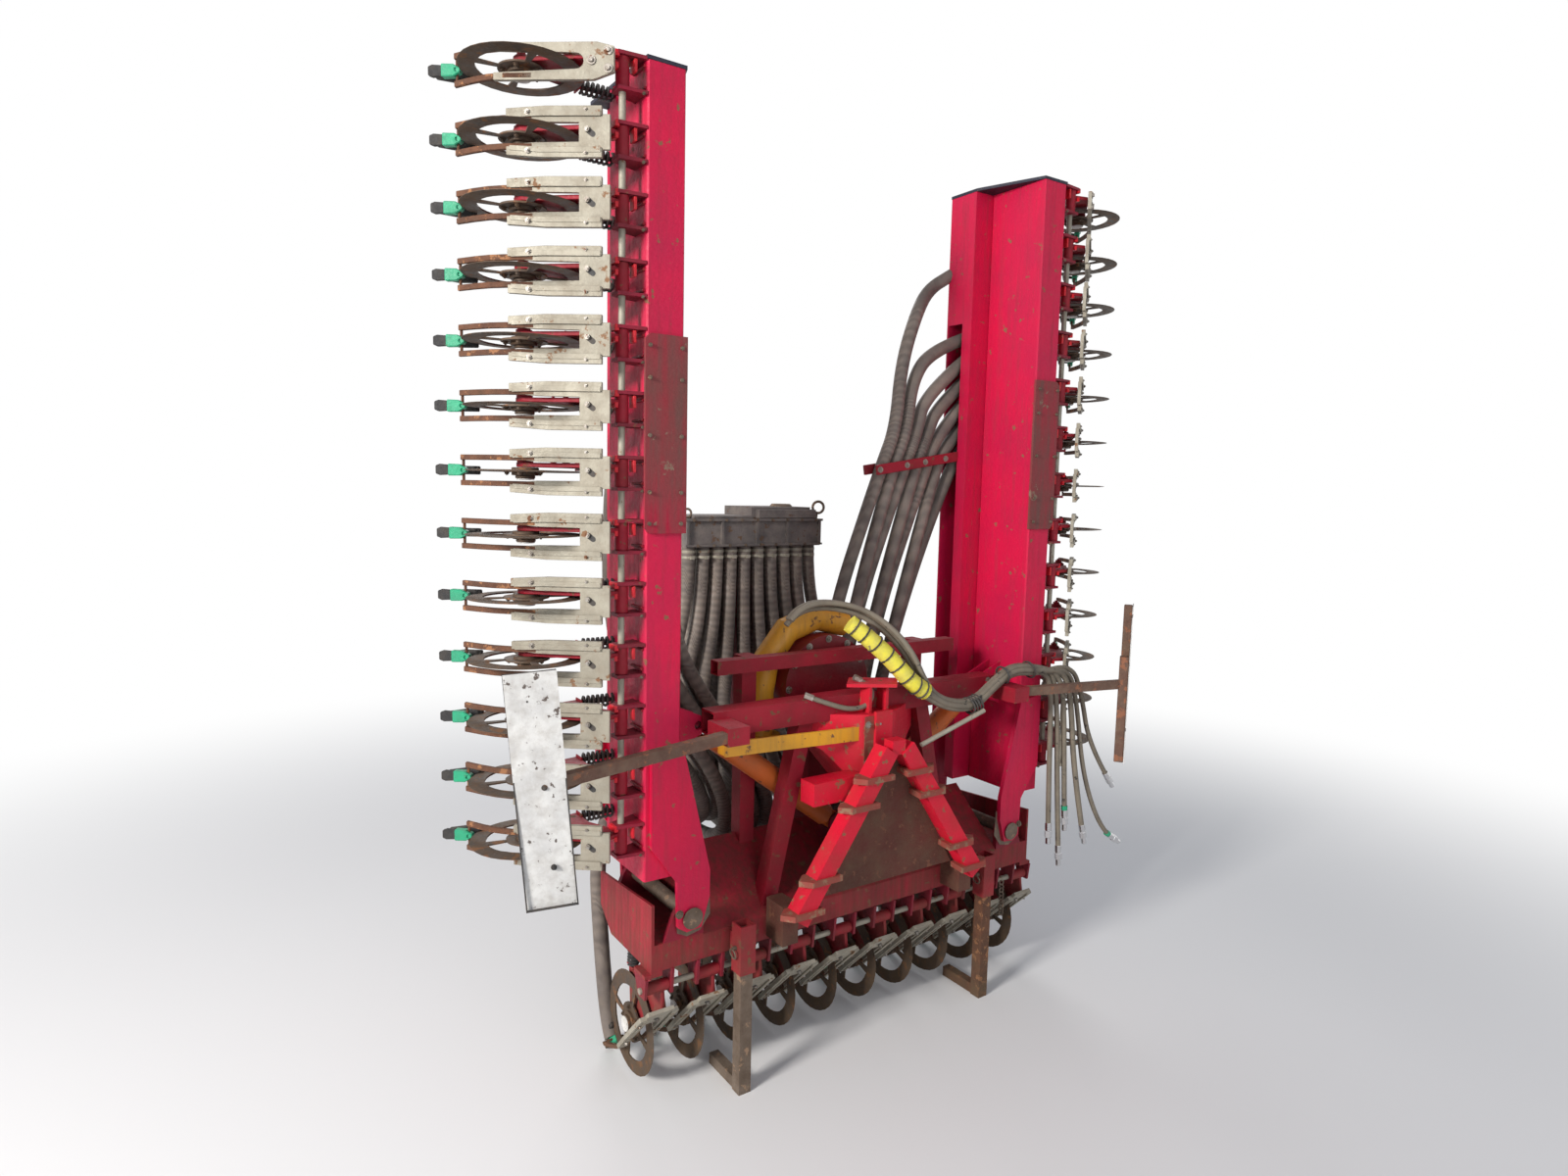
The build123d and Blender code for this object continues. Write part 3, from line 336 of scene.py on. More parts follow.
DISC_STEEL = Finish(
    "soil_worn_steel", "disc_steel", (0.10, 0.075, 0.058), (0.065, 0.050, 0.040), (0.15, 0.085, 0.045),
    (0.20, 0.10, 0.05), roughness=0.55, metallic=0.45, fade_scale=11.0, dirt_share=0.7, wear_share=0.22,
    mud_height=0.3,
)
RUSTY = Finish(
    "rusty_steel", "worn_steel", (0.155, 0.066, 0.036), (0.085, 0.040, 0.026), (0.10, 0.060, 0.038),
    (0.28, 0.13, 0.06), roughness=0.78, metallic=0.1, fade_scale=16.0, dirt_share=0.6, wear_share=0.25,
    bump=0.35, mud_height=0.3,
)
RUBBER = Finish(
    "outlet_rubber", "rubber", (0.020, 0.020, 0.022), (0.040, 0.038, 0.036), (0.10, 0.08, 0.06),
    (0.06, 0.05, 0.04), roughness=0.68, fade_scale=12.0, dirt_share=0.4, wear_share=0.08, mud_height=0.2,
)
GREEN = Finish(
    "green_plastic", "rubber", (0.02, 0.33, 0.17), (0.03, 0.27, 0.15), (0.05, 0.10, 0.06),
    (0.09, 0.13, 0.08), roughness=0.48, fade_scale=20.0, wear_share=0.08,
)
MAROON = Finish(
    "maroon_enamel", "maroon_paint", (0.18, 0.006, 0.014), (0.24, 0.014, 0.022), (0.10, 0.04, 0.03),
    (0.12, 0.06, 0.04), roughness=0.34, coat=0.3, dirt_share=0.4, wear_share=0.08,
)
YELLOW = Finish(
    "pipe_yellow", "yellow_paint", (0.72, 0.34, 0.015), (0.62, 0.30, 0.03), (0.28, 0.15, 0.05),
    (0.18, 0.09, 0.04), roughness=0.42, coat=0.15, dirt_share=0.45, wear_share=0.14, spread=Spread.STREAKS,
)
WHITE_BOARD = Finish(
    "scuffed_board", "board_paint", (0.62, 0.62, 0.60), (0.50, 0.50, 0.49), (0.28, 0.25, 0.22),
    (0.10, 0.08, 0.07), roughness=0.5, fade_scale=14.0, dirt_share=0.5, wear_share=0.16, wear_scale=34.0,
)
CHROME = Finish(
    "bright_chrome", "rod_chrome", (0.66, 0.66, 0.67), (0.58, 0.58, 0.59), (0.30, 0.26, 0.22),
    (0.35, 0.30, 0.25), roughness=0.16, metallic=1.0, dirt_share=0.15, wear_share=0.03, bump=0.03,
)
BLACK = Finish(
    "worn_black", "black_paint", (0.028, 0.028, 0.030), (0.048, 0.046, 0.044), (0.13, 0.10, 0.075),
    (0.12, 0.07, 0.045), roughness=0.5, fade_scale=7.0, dirt_share=0.5,
)
WEATHERED = Finish(
    "weathered_frame", "black_paint", (0.17, 0.145, 0.135), (0.11, 0.10, 0.095), (0.26, 0.22, 0.19),
    (0.14, 0.085, 0.055), roughness=0.72, fade_scale=8.0, dirt_share=0.6, wear_share=0.2, bump=0.3,
)
ZINC = Finish(
    "zinc_bolts", "galvanised", (0.36, 0.34, 0.31), (0.24, 0.21, 0.18), (0.15, 0.10, 0.07),
    (0.17, 0.08, 0.045), roughness=0.42, metallic=0.7, fade_scale=30.0, wear_share=0.2, grain=200.0,
)
CAP_WHITE = Finish(
    "hub_cap_white", "board_paint", (0.70, 0.69, 0.66), (0.55, 0.54, 0.51), (0.26, 0.22, 0.18),
    (0.20, 0.15, 0.11), roughness=0.4, fade_scale=24.0,
)
BARE = Finish(
    "bare_muddy_steel", "worn_steel", (0.20, 0.155, 0.12), (0.125, 0.09, 0.065), (0.09, 0.06, 0.04),
    (0.30, 0.20, 0.13), roughness=0.66, metallic=0.35, fade_scale=10.0, dirt_share=0.6, wear_share=0.2,
    bump=0.3,
)
# hitch web: the near-black brown base is painted shade on the plate between the hitch legs; the lighter
# streaks over it are dirt
WEB_SHADE = Finish(
    "web_painted_shade", "dark_red_paint", (0.075, 0.030, 0.020), (0.11, 0.030, 0.022), (0.12, 0.075, 0.045),
    (0.15, 0.06, 0.035), roughness=0.75, fade_scale=5.0, dirt_share=0.7, wear_share=0.2, bump=0.3,
)
WOODEN = Finish(
    "brown_bar", "worn_steel", (0.16, 0.085, 0.060), (0.11, 0.062, 0.045), (0.22, 0.16, 0.11),
    (0.26, 0.11, 0.06), roughness=0.75, fade_scale=8.0, dirt_share=0.6, wear_share=0.25, bump=0.3,
)
COLLAR = Finish(
    "collar_plates", "dark_red_paint", (0.22, 0.055, 0.040), (0.28, 0.045, 0.035), (0.17, 0.10, 0.065),
    (0.24, 0.13, 0.08), roughness=0.68, fade_scale=9.0, dirt_share=0.6, wear_share=0.28,
)
DOUBLER = Finish(
    "doubler_plate", "red_paint", (0.34, 0.006, 0.030), (0.16, 0.040, 0.036), (0.10, 0.072, 0.060),
    (0.21, 0.14, 0.10), roughness=0.58, fade_scale=2.4, dirt_share=0.8, wear_share=0.16, wear_scale=14.0,
    spread=Spread.STREAKS,
)
ARM_DARK = Finish(
    "dark_coulter_arm", "red_paint", (0.055, 0.012, 0.012), (0.035, 0.022, 0.018), (0.085, 0.052, 0.034),
    (0.14, 0.07, 0.04), roughness=0.65, fade_scale=8.0, dirt_share=0.7, wear_share=0.2, mud_height=0.5,
)
ORANGE = Finish(
    "orange_barrel", "black_paint", (0.60, 0.13, 0.02), (0.50, 0.12, 0.03), (0.20, 0.10, 0.05),
    (0.16, 0.08, 0.045), dirt_share=0.5, wear_share=0.15,
)
HYDRAULIC = Finish(
    "dusty_hydraulic_hose", "rubber", (0.150, 0.128, 0.098), (0.205, 0.180, 0.140), (0.25, 0.205, 0.15),
    (0.05, 0.045, 0.04), roughness=0.62, fade_scale=9.0, dirt_share=0.5,
)
SLEEVE = Finish(
    "yellow_sleeve", "yellow_paint", (0.78, 0.70, 0.06), (0.66, 0.60, 0.10), (0.36, 0.32, 0.12),
    (0.24, 0.21, 0.10), roughness=0.6, fade_scale=20.0, dirt_share=0.4, wear_share=0.15,
)
# end sheet: its dark navy is painted shade of the tower's top and the sheet's underside
END_SHEET_SHADE = Finish(
    "dark_end_sheet", "black_paint", (0.012, 0.014, 0.030), (0.022, 0.022, 0.036), (0.06, 0.045, 0.05),
    (0.10, 0.06, 0.05), roughness=0.55, fade_scale=7.0, dirt_share=0.3, wear_share=0.08,
)


@dataclass(frozen=True)
class HoseRubber:
    """Grey-brown slurry hose with moulded rings that follow its own length, and painted shade in the rings'
    grooves.
    """

    name: str = "ribbed_hose"
    slot: str = "rubber"
    base: Colour = (0.250, 0.205, 0.172)
    faded: Colour = (0.125, 0.104, 0.092)
    dust: Colour = (0.21, 0.165, 0.125)
    # near-black colour painted into the rings' grooves as shade
    groove_shade: Colour = (0.040, 0.034, 0.030)
    rings: float = 240.0

    def material(self) -> bpy.types.Material:
        """Build the node material once and return it.

        Returns:
            The material.
        """
        made, nodes = started(self.name)
        if not nodes:
            return made
        place = nodes.add("ShaderNodeTexCoord").outputs["Object"]
        along = nodes.add("ShaderNodeAttribute", attribute_name="along").outputs["Fac"]
        turns = nodes.maths("MULTIPLY", along, self.rings)
        ring = nodes.ranged(nodes.maths("SINE", turns, 0.0), (-1.0, 1.0))
        patches = nodes.noise(place, 6.0, 6.0, (0.35, 0.65))
        colour = nodes.blend(patches, self.base, self.faded)
        dusty = nodes.maths("MULTIPLY", nodes.noise(place, 19.0, 8.0, (0.45, 0.7)), 0.5)
        colour = nodes.blend(dusty, colour, self.dust)
        # painted shade: the rings' grooves are darkened towards the near-black groove colour
        colour = nodes.blend(nodes.maths("MULTIPLY", ring, 0.35), colour, self.groove_shade)
        rough = nodes.ranged(patches, target=(0.55, 0.75))
        nodes.shade({"Base Color": colour, "Roughness": rough, "Normal": nodes.bumped(ring, 0.4)})
        return made


HOSE = HoseRubber()


def point(*values: float) -> Vector:
    """Millimetres as a vector in metres."""
    return Vector(values) * MM


def along_fork(share: float, back: float) -> Pair:
    """Place along the fork and behind it, in millimetres, as back and up from the pivot rod.

    Args:
        share: how far down the fork.
        back: how far behind it.

    Returns:
        Distances back and up.
    """
    return (
        -15 + share * math.sin(FORK_TURN) + back * math.cos(FORK_TURN),
        -103 - share * math.cos(FORK_TURN) + back * math.sin(FORK_TURN),
    )


def stood(name: str, data: bpy.types.ID) -> bpy.types.Object:
    """Stand an object of some data in the scene.

    Args:
        name: the object's name.
        data: its mesh, curve, lamp or camera.

    Returns:
        The object.
    """
    made = bpy.data.objects.new(name, data)
    bpy.context.scene.collection.objects.link(made)
    return made


def finished(name: str, data: bpy.types.Mesh, finish: Finish | HoseRubber) -> bpy.types.Object:
    """Stand a finished mesh in the scene, with nothing carrying it yet.

    Args:
        name: the piece's name.
        data: its mesh.
        finish: what it is finished in.

    Returns:
        The piece.
    """
    made = stood(name, data)
    data.materials.append(finish.material())
    log.info("%s: %d faces", name, len(data.polygons))
    return made


class Form:
    """A mesh that grows by operators and becomes one finished piece."""

    def __init__(self) -> None:
        """Start with nothing."""
        self.mesh = bmesh.new()

    def _settle(self, vertices: Iterable[bmesh.types.BMVert], matrix: Matrix) -> None:
        """Move new vertices to their place."""
        bmesh.ops.transform(self.mesh, matrix=matrix, verts=list(vertices))

    @staticmethod
    def _faces(vertices: Iterable[bmesh.types.BMVert]) -> list[bmesh.types.BMFace]:
        """Faces at some vertices, in a fixed order."""
        return list(dict.fromkeys(face for vertex in vertices for face in vertex.link_faces))

    def _soften(self, vertices: Iterable[bmesh.types.BMVert], offset: float) -> None:
        """Round the edges between new vertices.

        Args:
            vertices: corners of the new part.
            offset: how far its edges are cut back.
        """
        if offset <= 0:
            return
        chosen = set(vertices)
        edges = [e for e in self.mesh.edges if e.verts[0] in chosen and e.verts[1] in chosen
                 and len(e.link_faces) == 2 and e.calc_face_angle(0.0) > 0.6]
        bmesh.ops.bevel(self.mesh, geom=edges, offset=offset, segments=1, profile=0.5,
                        affect="EDGES", material=-1, clamp_overlap=True)

    def box(self, low: Sequence[float], high: Sequence[float], soft: float = 0.0,
            matrix: Optional[Matrix] = None) -> "Form":
        """Add a box between two corners.

        Args:
            low: lowest corner.
            high: highest corner.
            soft: rounding of its edges.
            matrix: where it goes.

        Returns:
            The form.
        """
        low, high = Vector(low), Vector(high)
        made = bmesh.ops.create_cube(self.mesh, size=1.0)["verts"]
        size = high - low
        move = Matrix.Translation((low + high) / 2) @ Matrix.Diagonal((*size, 1.0))
        self._settle(made, (matrix or Matrix.Identity(4)) @ move)
        self._soften(made, soft)
        return self

    def rod(self, start: Sequence[float], end: Sequence[float], radius: float, sides: int = 14,
            end_radius: Optional[float] = None, soft: float = 0.0) -> "Form":
        """Add a round bar, or a cone, from one point to another.

        Args:
            start: middle of one end.
            end: middle of the other end.
            radius: radius at the start.
            sides: sides of its section.
            end_radius: radius at the end, where it differs.
            soft: rounding of its edges.

        Returns:
            The form.
        """
        start, end = Vector(start), Vector(end)
        run = end - start
        turn = run.to_track_quat("Z", "Y").to_matrix().to_4x4()
        made = bmesh.ops.create_cone(
            self.mesh, cap_ends=True, segments=sides, radius1=radius,
            radius2=radius if end_radius is None else end_radius, depth=run.length,
        )["verts"]
        self._settle(made, Matrix.Translation((start + end) / 2) @ turn)
        self._soften(made, soft)
        return self

    def bolt(self, place: Sequence[float], normal: Sequence[float], size: float = 0.012,
             washer: bool = True) -> "Form":
        """Add a hexagon head on its washer.

        Args:
            place: point on the surface.
            normal: the way the bolt looks out.
            size: radius over the head's corners.
            washer: whether a washer lies under the head.

        Returns:
            The form.
        """
        place, normal = Vector(place), Vector(normal).normalized()
        start = place - normal * 0.001
        if washer:
            self.rod(start, place + normal * size * 0.25, size * 1.4, 12)
            start = place + normal * size * 0.2
        self.rod(start, place + normal * size * 0.95, size, 6)
        self.rod(place, place + normal * size * 1.4, size * 0.5, 8)
        return self

    def plate(self, outline: Sequence[Pair], low: float, high: float, axis: str, soft: float = 0.0,
              matrix: Optional[Matrix] = None) -> "Form":
        """Add an outline with thickness along one axis.

        Args:
            outline: corners on the two other axes, in order.
            low: where the thickness starts.
            high: where it ends.
            axis: X, Y or Z.
            soft: rounding of its edges.
            matrix: where it goes.

        Returns:
            The form.
        """
        corners = [self.mesh.verts.new({"X": (low, a, b), "Y": (a, low, b), "Z": (a, b, low)}[axis])
                   for a, b in outline]
        face = self.mesh.faces.new(corners)
        grown = bmesh.ops.extrude_face_region(self.mesh, geom=[face])["geom"]
        moved = [g for g in grown if isinstance(g, bmesh.types.BMVert)]
        way = Vector({"X": (1, 0, 0), "Y": (0, 1, 0), "Z": (0, 0, 1)}[axis]) * (high - low)
        bmesh.ops.translate(self.mesh, vec=way, verts=moved)
        made = corners + moved
        if matrix:
            self._settle(made, matrix)
        bmesh.ops.recalc_face_normals(self.mesh, faces=self._faces(made))
        self._soften(made, soft)
        return self

    def ring(self, centre: Sequence[float], normal: Sequence[float], radius: float, thickness: float,
             steps: int = 20, sides: int = 8) -> "Form":
        """Add a round ring."""
        return self.coil(centre, normal, radius, thickness, 1.0, 0.0, steps, sides)

    def coil(self, centre: Sequence[float], normal: Sequence[float], radius: float, thickness: float,
             turns: float, rise: float, steps: int = 10, sides: int = 6) -> "Form":
        """Add a coil of wire, or a ring where it doesn't rise.

        Args:
            centre: middle of the first turn.
            normal: the coil's axis.
            radius: of the wire's middle line.
            thickness: radius of the wire.
            turns: number of turns.
            rise: height of the whole coil.
            steps: steps in a turn.
            sides: sides of the wire.

        Returns:
            The form.
        """
        turn = Vector(normal).to_track_quat("Z", "Y").to_matrix().to_4x4()
        start = list(bmesh.ops.create_circle(
            self.mesh, cap_ends=rise > 0, radius=thickness, segments=sides)["verts"])
        stand = Matrix.Translation((radius, 0, 0)) @ Matrix.Rotation(math.pi / 2, 4, "X")
        self._settle(start, stand)
        edges = dict.fromkeys(edge for vertex in start for edge in vertex.link_edges)
        geometry = [*start, *edges, *self._faces(start)]
        known = set(self.mesh.verts)
        count = max(1, round(steps * turns))
        bmesh.ops.spin(
            self.mesh, geom=geometry, cent=(0, 0, 0), axis=(0, 0, 1), dvec=(0, 0, rise / count),
            angle=math.tau * turns, steps=count, use_merge=rise == 0, use_duplicate=False,
        )
        made = [v for v in start if v.is_valid] + [v for v in self.mesh.verts if v not in known]
        self._settle(made, Matrix.Translation(Vector(centre)) @ turn)
        bmesh.ops.recalc_face_normals(self.mesh, faces=self._faces(made))
        return self

    def add(self, other: "Form", matrix: Matrix) -> "Form":
        """Add a copy of another form at a place; a mirrored place turns its faces back out.

        Args:
            other: the form that is copied.
            matrix: where the copy goes.

        Returns:
            The form.
        """
        known = set(self.mesh.verts)
        store = bpy.data.meshes.new("store")
        other.mesh.to_mesh(store)
        self.mesh.from_mesh(store)
        bpy.data.meshes.remove(store)
        made = [v for v in self.mesh.verts if v not in known]
        self._settle(made, matrix)
        if matrix.determinant() < 0:
            bmesh.ops.reverse_faces(self.mesh, faces=self._faces(made))
        return self

    def piece(self, name: str, body: str, finish: Finish, smooth: bool = False) -> bpy.types.Object:
        """Turn the form into a piece that rides on a body.

        Args:
            name: the piece's name.
            body: the body that it moves with.
            finish: what it is finished in.
            smooth: whether its faces are shaded smooth below a corner's angle.

        Returns:
            The piece.
        """
        data = bpy.data.meshes.new(name)
        self.mesh.to_mesh(data)
        self.mesh.free()
        if smooth:
            data.shade_smooth()
            data.set_sharp_from_angle(angle=SHARP_ANGLE)
        made = finished(name, data, finish)
        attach(made, body)
        return made


def open_curve(name: str, points: Sequence[Sequence[float]], steps: int,
               radius: float) -> tuple[bpy.types.Object, list[Vector]]:
    """Round hose as a curve, with the points of its middle line.

    Args:
        name: name of the object and its curve.
        points: control points in metres.
        steps: steps between control points.
        radius: the hose's radius.

    Returns:
        The curve's object and its middle line.
    """
    data = bpy.data.curves.new(name, "CURVE")
    data.dimensions = "3D"
    data.resolution_u = steps
    spline = data.splines.new("NURBS")
    spline.points.add(len(points) - 1)
    for knot, place in zip(spline.points, points):
        knot.co = (*place, 1.0)
    spline.order_u = 3
    spline.use_endpoint_u = True
    made = stood(name, data)
    bpy.context.view_layer.update()
    line = [vertex.co.copy() for vertex in made.to_mesh().vertices]
    made.to_mesh_clear()
    data.bevel_depth = radius
    data.bevel_resolution = HOSE_BEVEL
    data.use_fill_caps = True
    return made, line


def hose_line(points: Sequence[Sequence[float]], radius: float, smooth_steps: int = 7) -> bpy.types.Mesh:
    """Tube on a smooth curve, with an attribute that tells how far along it each point lies.

    Args:
        points: the curve's control points, in metres.
        radius: the tube's radius.
        smooth_steps: steps between control points.

    Returns:
        The tube's mesh.
    """
    holder, line = open_curve("line", points, smooth_steps, radius)
    bpy.context.view_layer.update()
    made = bpy.data.meshes.new_from_object(holder)
    bpy.data.objects.remove(holder)
    length = [0.0]
    for first, second in zip(line, line[1:]):
        length.append(length[-1] + (second - first).length)
    ring = (HOSE_BEVEL + 1) * 2
    value = made.attributes.new("along", "FLOAT", "POINT")
    for index, item in enumerate(value.data):
        item.value = length[min(index // ring, len(length) - 1)]
    return made


def join_hoses(name: str, meshes: Sequence[bpy.types.Mesh], finish: Finish | HoseRubber) -> bpy.types.Object:
    """Several tubes as one piece with nothing carrying it yet.

    Args:
        name: the piece's name.
        meshes: the tubes, which are used up.
        finish: what they are finished in.

    Returns:
        The piece.
    """
    form = bmesh.new()
    for mesh in meshes:
        form.from_mesh(mesh)
        bpy.data.meshes.remove(mesh)
    data = bpy.data.meshes.new(name)
    form.to_mesh(data)
    form.free()
    data.shade_smooth()
    return finished(name, data, finish)


@dataclass
class Coulter:
    """One coulter in the frame of its pivot rod, in millimetres: X along the row, Y back, Z up."""

    fork_half: float = 47.5
    slot_half: float = 26.0
    slot_start: float = 32.0
    plate_top: float = -57.0
    bar_width: float = 22.0
    bar_top: float = -34.0
    bar_bend: float = 160.0
    bar_end: float = 236.0
    prong_end: Pair = (412.0, 55.0)
    hub: Pair = (160.0, -240.0)
    disc_radius: float = 177.0
    window_inner: float = 68.0
    window_outer: float = 128.0

    def fork_matrix(self) -> Matrix:
        """Frame of the fork: X across, Z up along it and Y behind it."""
        return Matrix.Translation(point(0, -15, -103)) @ Matrix.Rotation(FORK_TURN, 4, "X")

    def laid(self, form: Form, outline: Sequence[Pair], low: float, high: float, soft: float = 0.8) -> Form:
        """Add a plate in the fork's plane.

        Args:
            form: the form that it joins.
            outline: corners across the fork and down along it.
            low: its front face, behind the fork's middle.
            high: its rear face.
            soft: rounding of its edges.

        Returns:
            The form.
        """
        corners = [(x * MM, -share * MM) for x, share in outline]
        return form.plate(corners, low * MM, high * MM, "Y", soft * MM, self.fork_matrix())

    def fork_plate(self) -> Form:
        """Light U-shaped plate with a stepped bar bolted on each of its arms.

        Returns:
            The form.
        """
        form = Form()
        half, slot, end, bend = self.fork_half, self.slot_half, self.bar_end, self.bar_bend
        arm = [(half, self.plate_top), (half, bend), (half - 4, end), (34, end), (slot + 1.5, bend),
               (slot, self.slot_start)]
        self.laid(form, arm + [(-x, share) for x, share in reversed(arm)], -6.5, 6.5)
        outer = half + self.bar_width
        for side in (1, -1):
            bar = [(outer, self.bar_top), (outer, bend - 30), (outer - 7, end + 4), (half - 8, end + 4),
                   (half - 3, bend - 30), (half - 3, self.bar_top)]
            self.laid(form, [(side * x, share) for x, share in bar], -10.5, 4.5)
            strip = [(half + 9, self.bar_top + 3), (half + 9, bend - 20), (half + 3, end - 6),
                     (half - 10, end - 6), (half - 6, bend - 20), (half - 6, self.bar_top + 3)]
            self.laid(form, [(side * x, share) for x, share in strip], -13.0, -9.0, 0.5)
        return form

    def end_fork_plate(self) -> Form:
        """One-piece fork of the outermost coulter, with a round slot and clipped corners.

        Returns:
            The form.
        """
        form = Form()
        slot, start, half, end = 21.0, 18.0, 50.0, self.bar_end + 40
        arc = [(slot * math.cos(turn), start + slot - slot * math.sin(turn))
               for turn in (math.pi * step / 10 for step in range(11))]
        outline = [(38, -68), (half, -20), (half, end), (30, end), *arc,
                   (-30, end), (-half, end), (-half, -10), (-30, -68)]
        return self.laid(form, outline, -7.0, 7.0)

    def prongs(self) -> Form:
        """Rusty prongs from under the bars to the swept ends.

        Returns:
            The form.
        """
        form = Form()
        along = [self.bar_end - 70, 250.0, 300.0, 350.0, self.prong_end[0]]
        back = [0.0, 0.0, 9.0, 27.0, self.prong_end[1]]
        front = [along_fork(s, b - 7.0) for s, b in zip(along, back)]
        rear = [along_fork(s, b + 7.0) for s, b in zip(along, back)]
        outline = [(y * MM, z * MM) for y, z in front + rear[::-1]]
        for side in (1, -1):
            edges = sorted((side * 30.0, side * 46.0))
            form.plate(outline, edges[0] * MM, edges[1] * MM, "X", 0.0015)
        matrix = self.fork_matrix()
        form.rod(matrix @ point(-31, 58, -406), matrix @ point(31, 58, -406), 0.0045, 10)
        return form

    def slot_ends(self, length: float, radius: float, turn: float) -> list[Pair]:
        """Outline of a slot with round ends, turned in the fork's plane.

        Args:
            length: distance between the ends' centres.
            radius: radius of the ends.
            turn: how far the slot is turned.

        Returns:
            The corners.
        """
        outline = []
        cos, sin = math.cos(turn), math.sin(turn)
        for side in (1, -1):
            for step in range(7):
                angle = math.pi * (step / 6 - 0.5) + (0 if side > 0 else math.pi)
                x = side * length / 2 + radius * math.cos(angle)
                y = radius * math.sin(angle)
                outline.append((x * cos - y * sin, x * sin + y * cos))
        return outline

    def bolt_slot(self) -> Form:
        """Slanted slot in the fork plate, drawn as a black sheet: painted shade inside the slot."""
        return self.laid(Form(), self.slot_ends(19.0, 8.0, math.radians(52)), -7.1, -6.0, 0)

    def fork_bolts(self) -> Form:
        """Bolt in the slot, and the small ones through the bars.

        Returns:
            The form.
        """
        form = Form()
        matrix = self.fork_matrix()
        out = matrix.to_3x3() @ Vector(FORWARD)
        form.bolt(matrix @ point(6, -6.8, -8), out, 0.0078, washer=False)
        for side in (1, -1):
            form.bolt(matrix @ point(side * 52, -13.0, -178), out, 0.006)
            form.bolt(matrix @ point(side * 58, -10.5, -12), out, 0.005, washer=False)
        return form

    def end_fork_bolts(self) -> Form:
        """Three large round-headed bolts of the outermost fork.

        Returns:
            The form.
        """
        form = Form()
        matrix = self.fork_matrix()
        out = matrix.to_3x3() @ Vector(FORWARD)
        for x, share in ((0, -4), (26, -52), (-22, -52)):
            place = matrix @ point(x, -7, -share)
            form.rod(place, place + out * 0.004, 0.0125, 18)
            form.rod(place, place + out * 0.010, 0.0085, 14, 0.006)
        return form

    def rubber_outlet(self) -> Form:
        """Flattened rubber outlet below the green block."""
        outline = [(-15, 448), (-17, 478), (-12, 490.5), (12, 490.5), (17, 478), (15, 448)]
        return self.laid(Form(), outline, 50, 62, 2.0)

    def green_block(self) -> Form:
        """Green block between the prongs' ends, pointed towards the fork.

        Returns:
            The form.
        """
        form = Form()
        outline = [(-18, 450), (-17, 414), (-5, 393), (5, 393), (17, 414), (18, 450)]
        self.laid(form, outline, 45.0, 67.5, 2.5)
        matrix = self.fork_matrix()
        form.ring(matrix @ point(0, 44.5, -406), FORWARD, 0.005, 0.0015)
        return form

    def boot(self) -> Form:
        """Pointed rubber boot behind the green block.

        Returns:
            The form.
        """
        form = Form()
        self.laid(form, [(-13, 372), (13, 372), (13, 430), (3, 488), (-3, 488), (-13, 430)], 92, 108, 3.0)
        matrix = self.fork_matrix()
        form.rod(matrix @ point(0, 84, -424), matrix @ point(0, 66, -436), 0.006, 10)
        return form

    def arm(self) -> Form:
        """Sleeve on the rod and the plate that carries fork, spring and hub.

        Returns:
            The form.
        """
        form = Form()
        form.rod(point(-42, 0, 0), point(42, 0, 0), 0.0205, 18, soft=0.001)
        outline = [(-8, 4), along_fork(-34, 8.5), along_fork(44, 8.5), (112, -232), (128, -256), (160, -267),
                   (190, -256), (197, -232), (231, -54), (208, -52), (134, -52), (40, -12), (12, 12)]
        form.plate([(y * MM, z * MM) for y, z in outline], 0.0125, 0.0255, "X", 0.0015)
        form.rod(point(12, 160, -240), point(34, 160, -240), 0.024, 14, soft=0.001)
        form.box(point(5, 184, -56), point(33, 232, -51), 0.001)
        form.bolt(point(34, 160, -240), (1, 0, 0), 0.014)
        for y, z in ((118, -128), (165, -150)):
            form.bolt(point(25.5, y, z), (1, 0, 0), 0.009)
        return form

    def spring(self, top: float) -> Form:
        """Compression spring between the arm and the beam.

        Args:
            top: height of the upper seat over the rod.

        Returns:
            The form.
        """
        form = Form()
        form.coil(point(19, 208, -46), UP, 0.0185, 0.0047, 6.5, (top + 41) * MM, 9, 6)
        form.rod(point(19, 208, -52), point(19, 208, top - 1), 0.0075, 8)
        return form

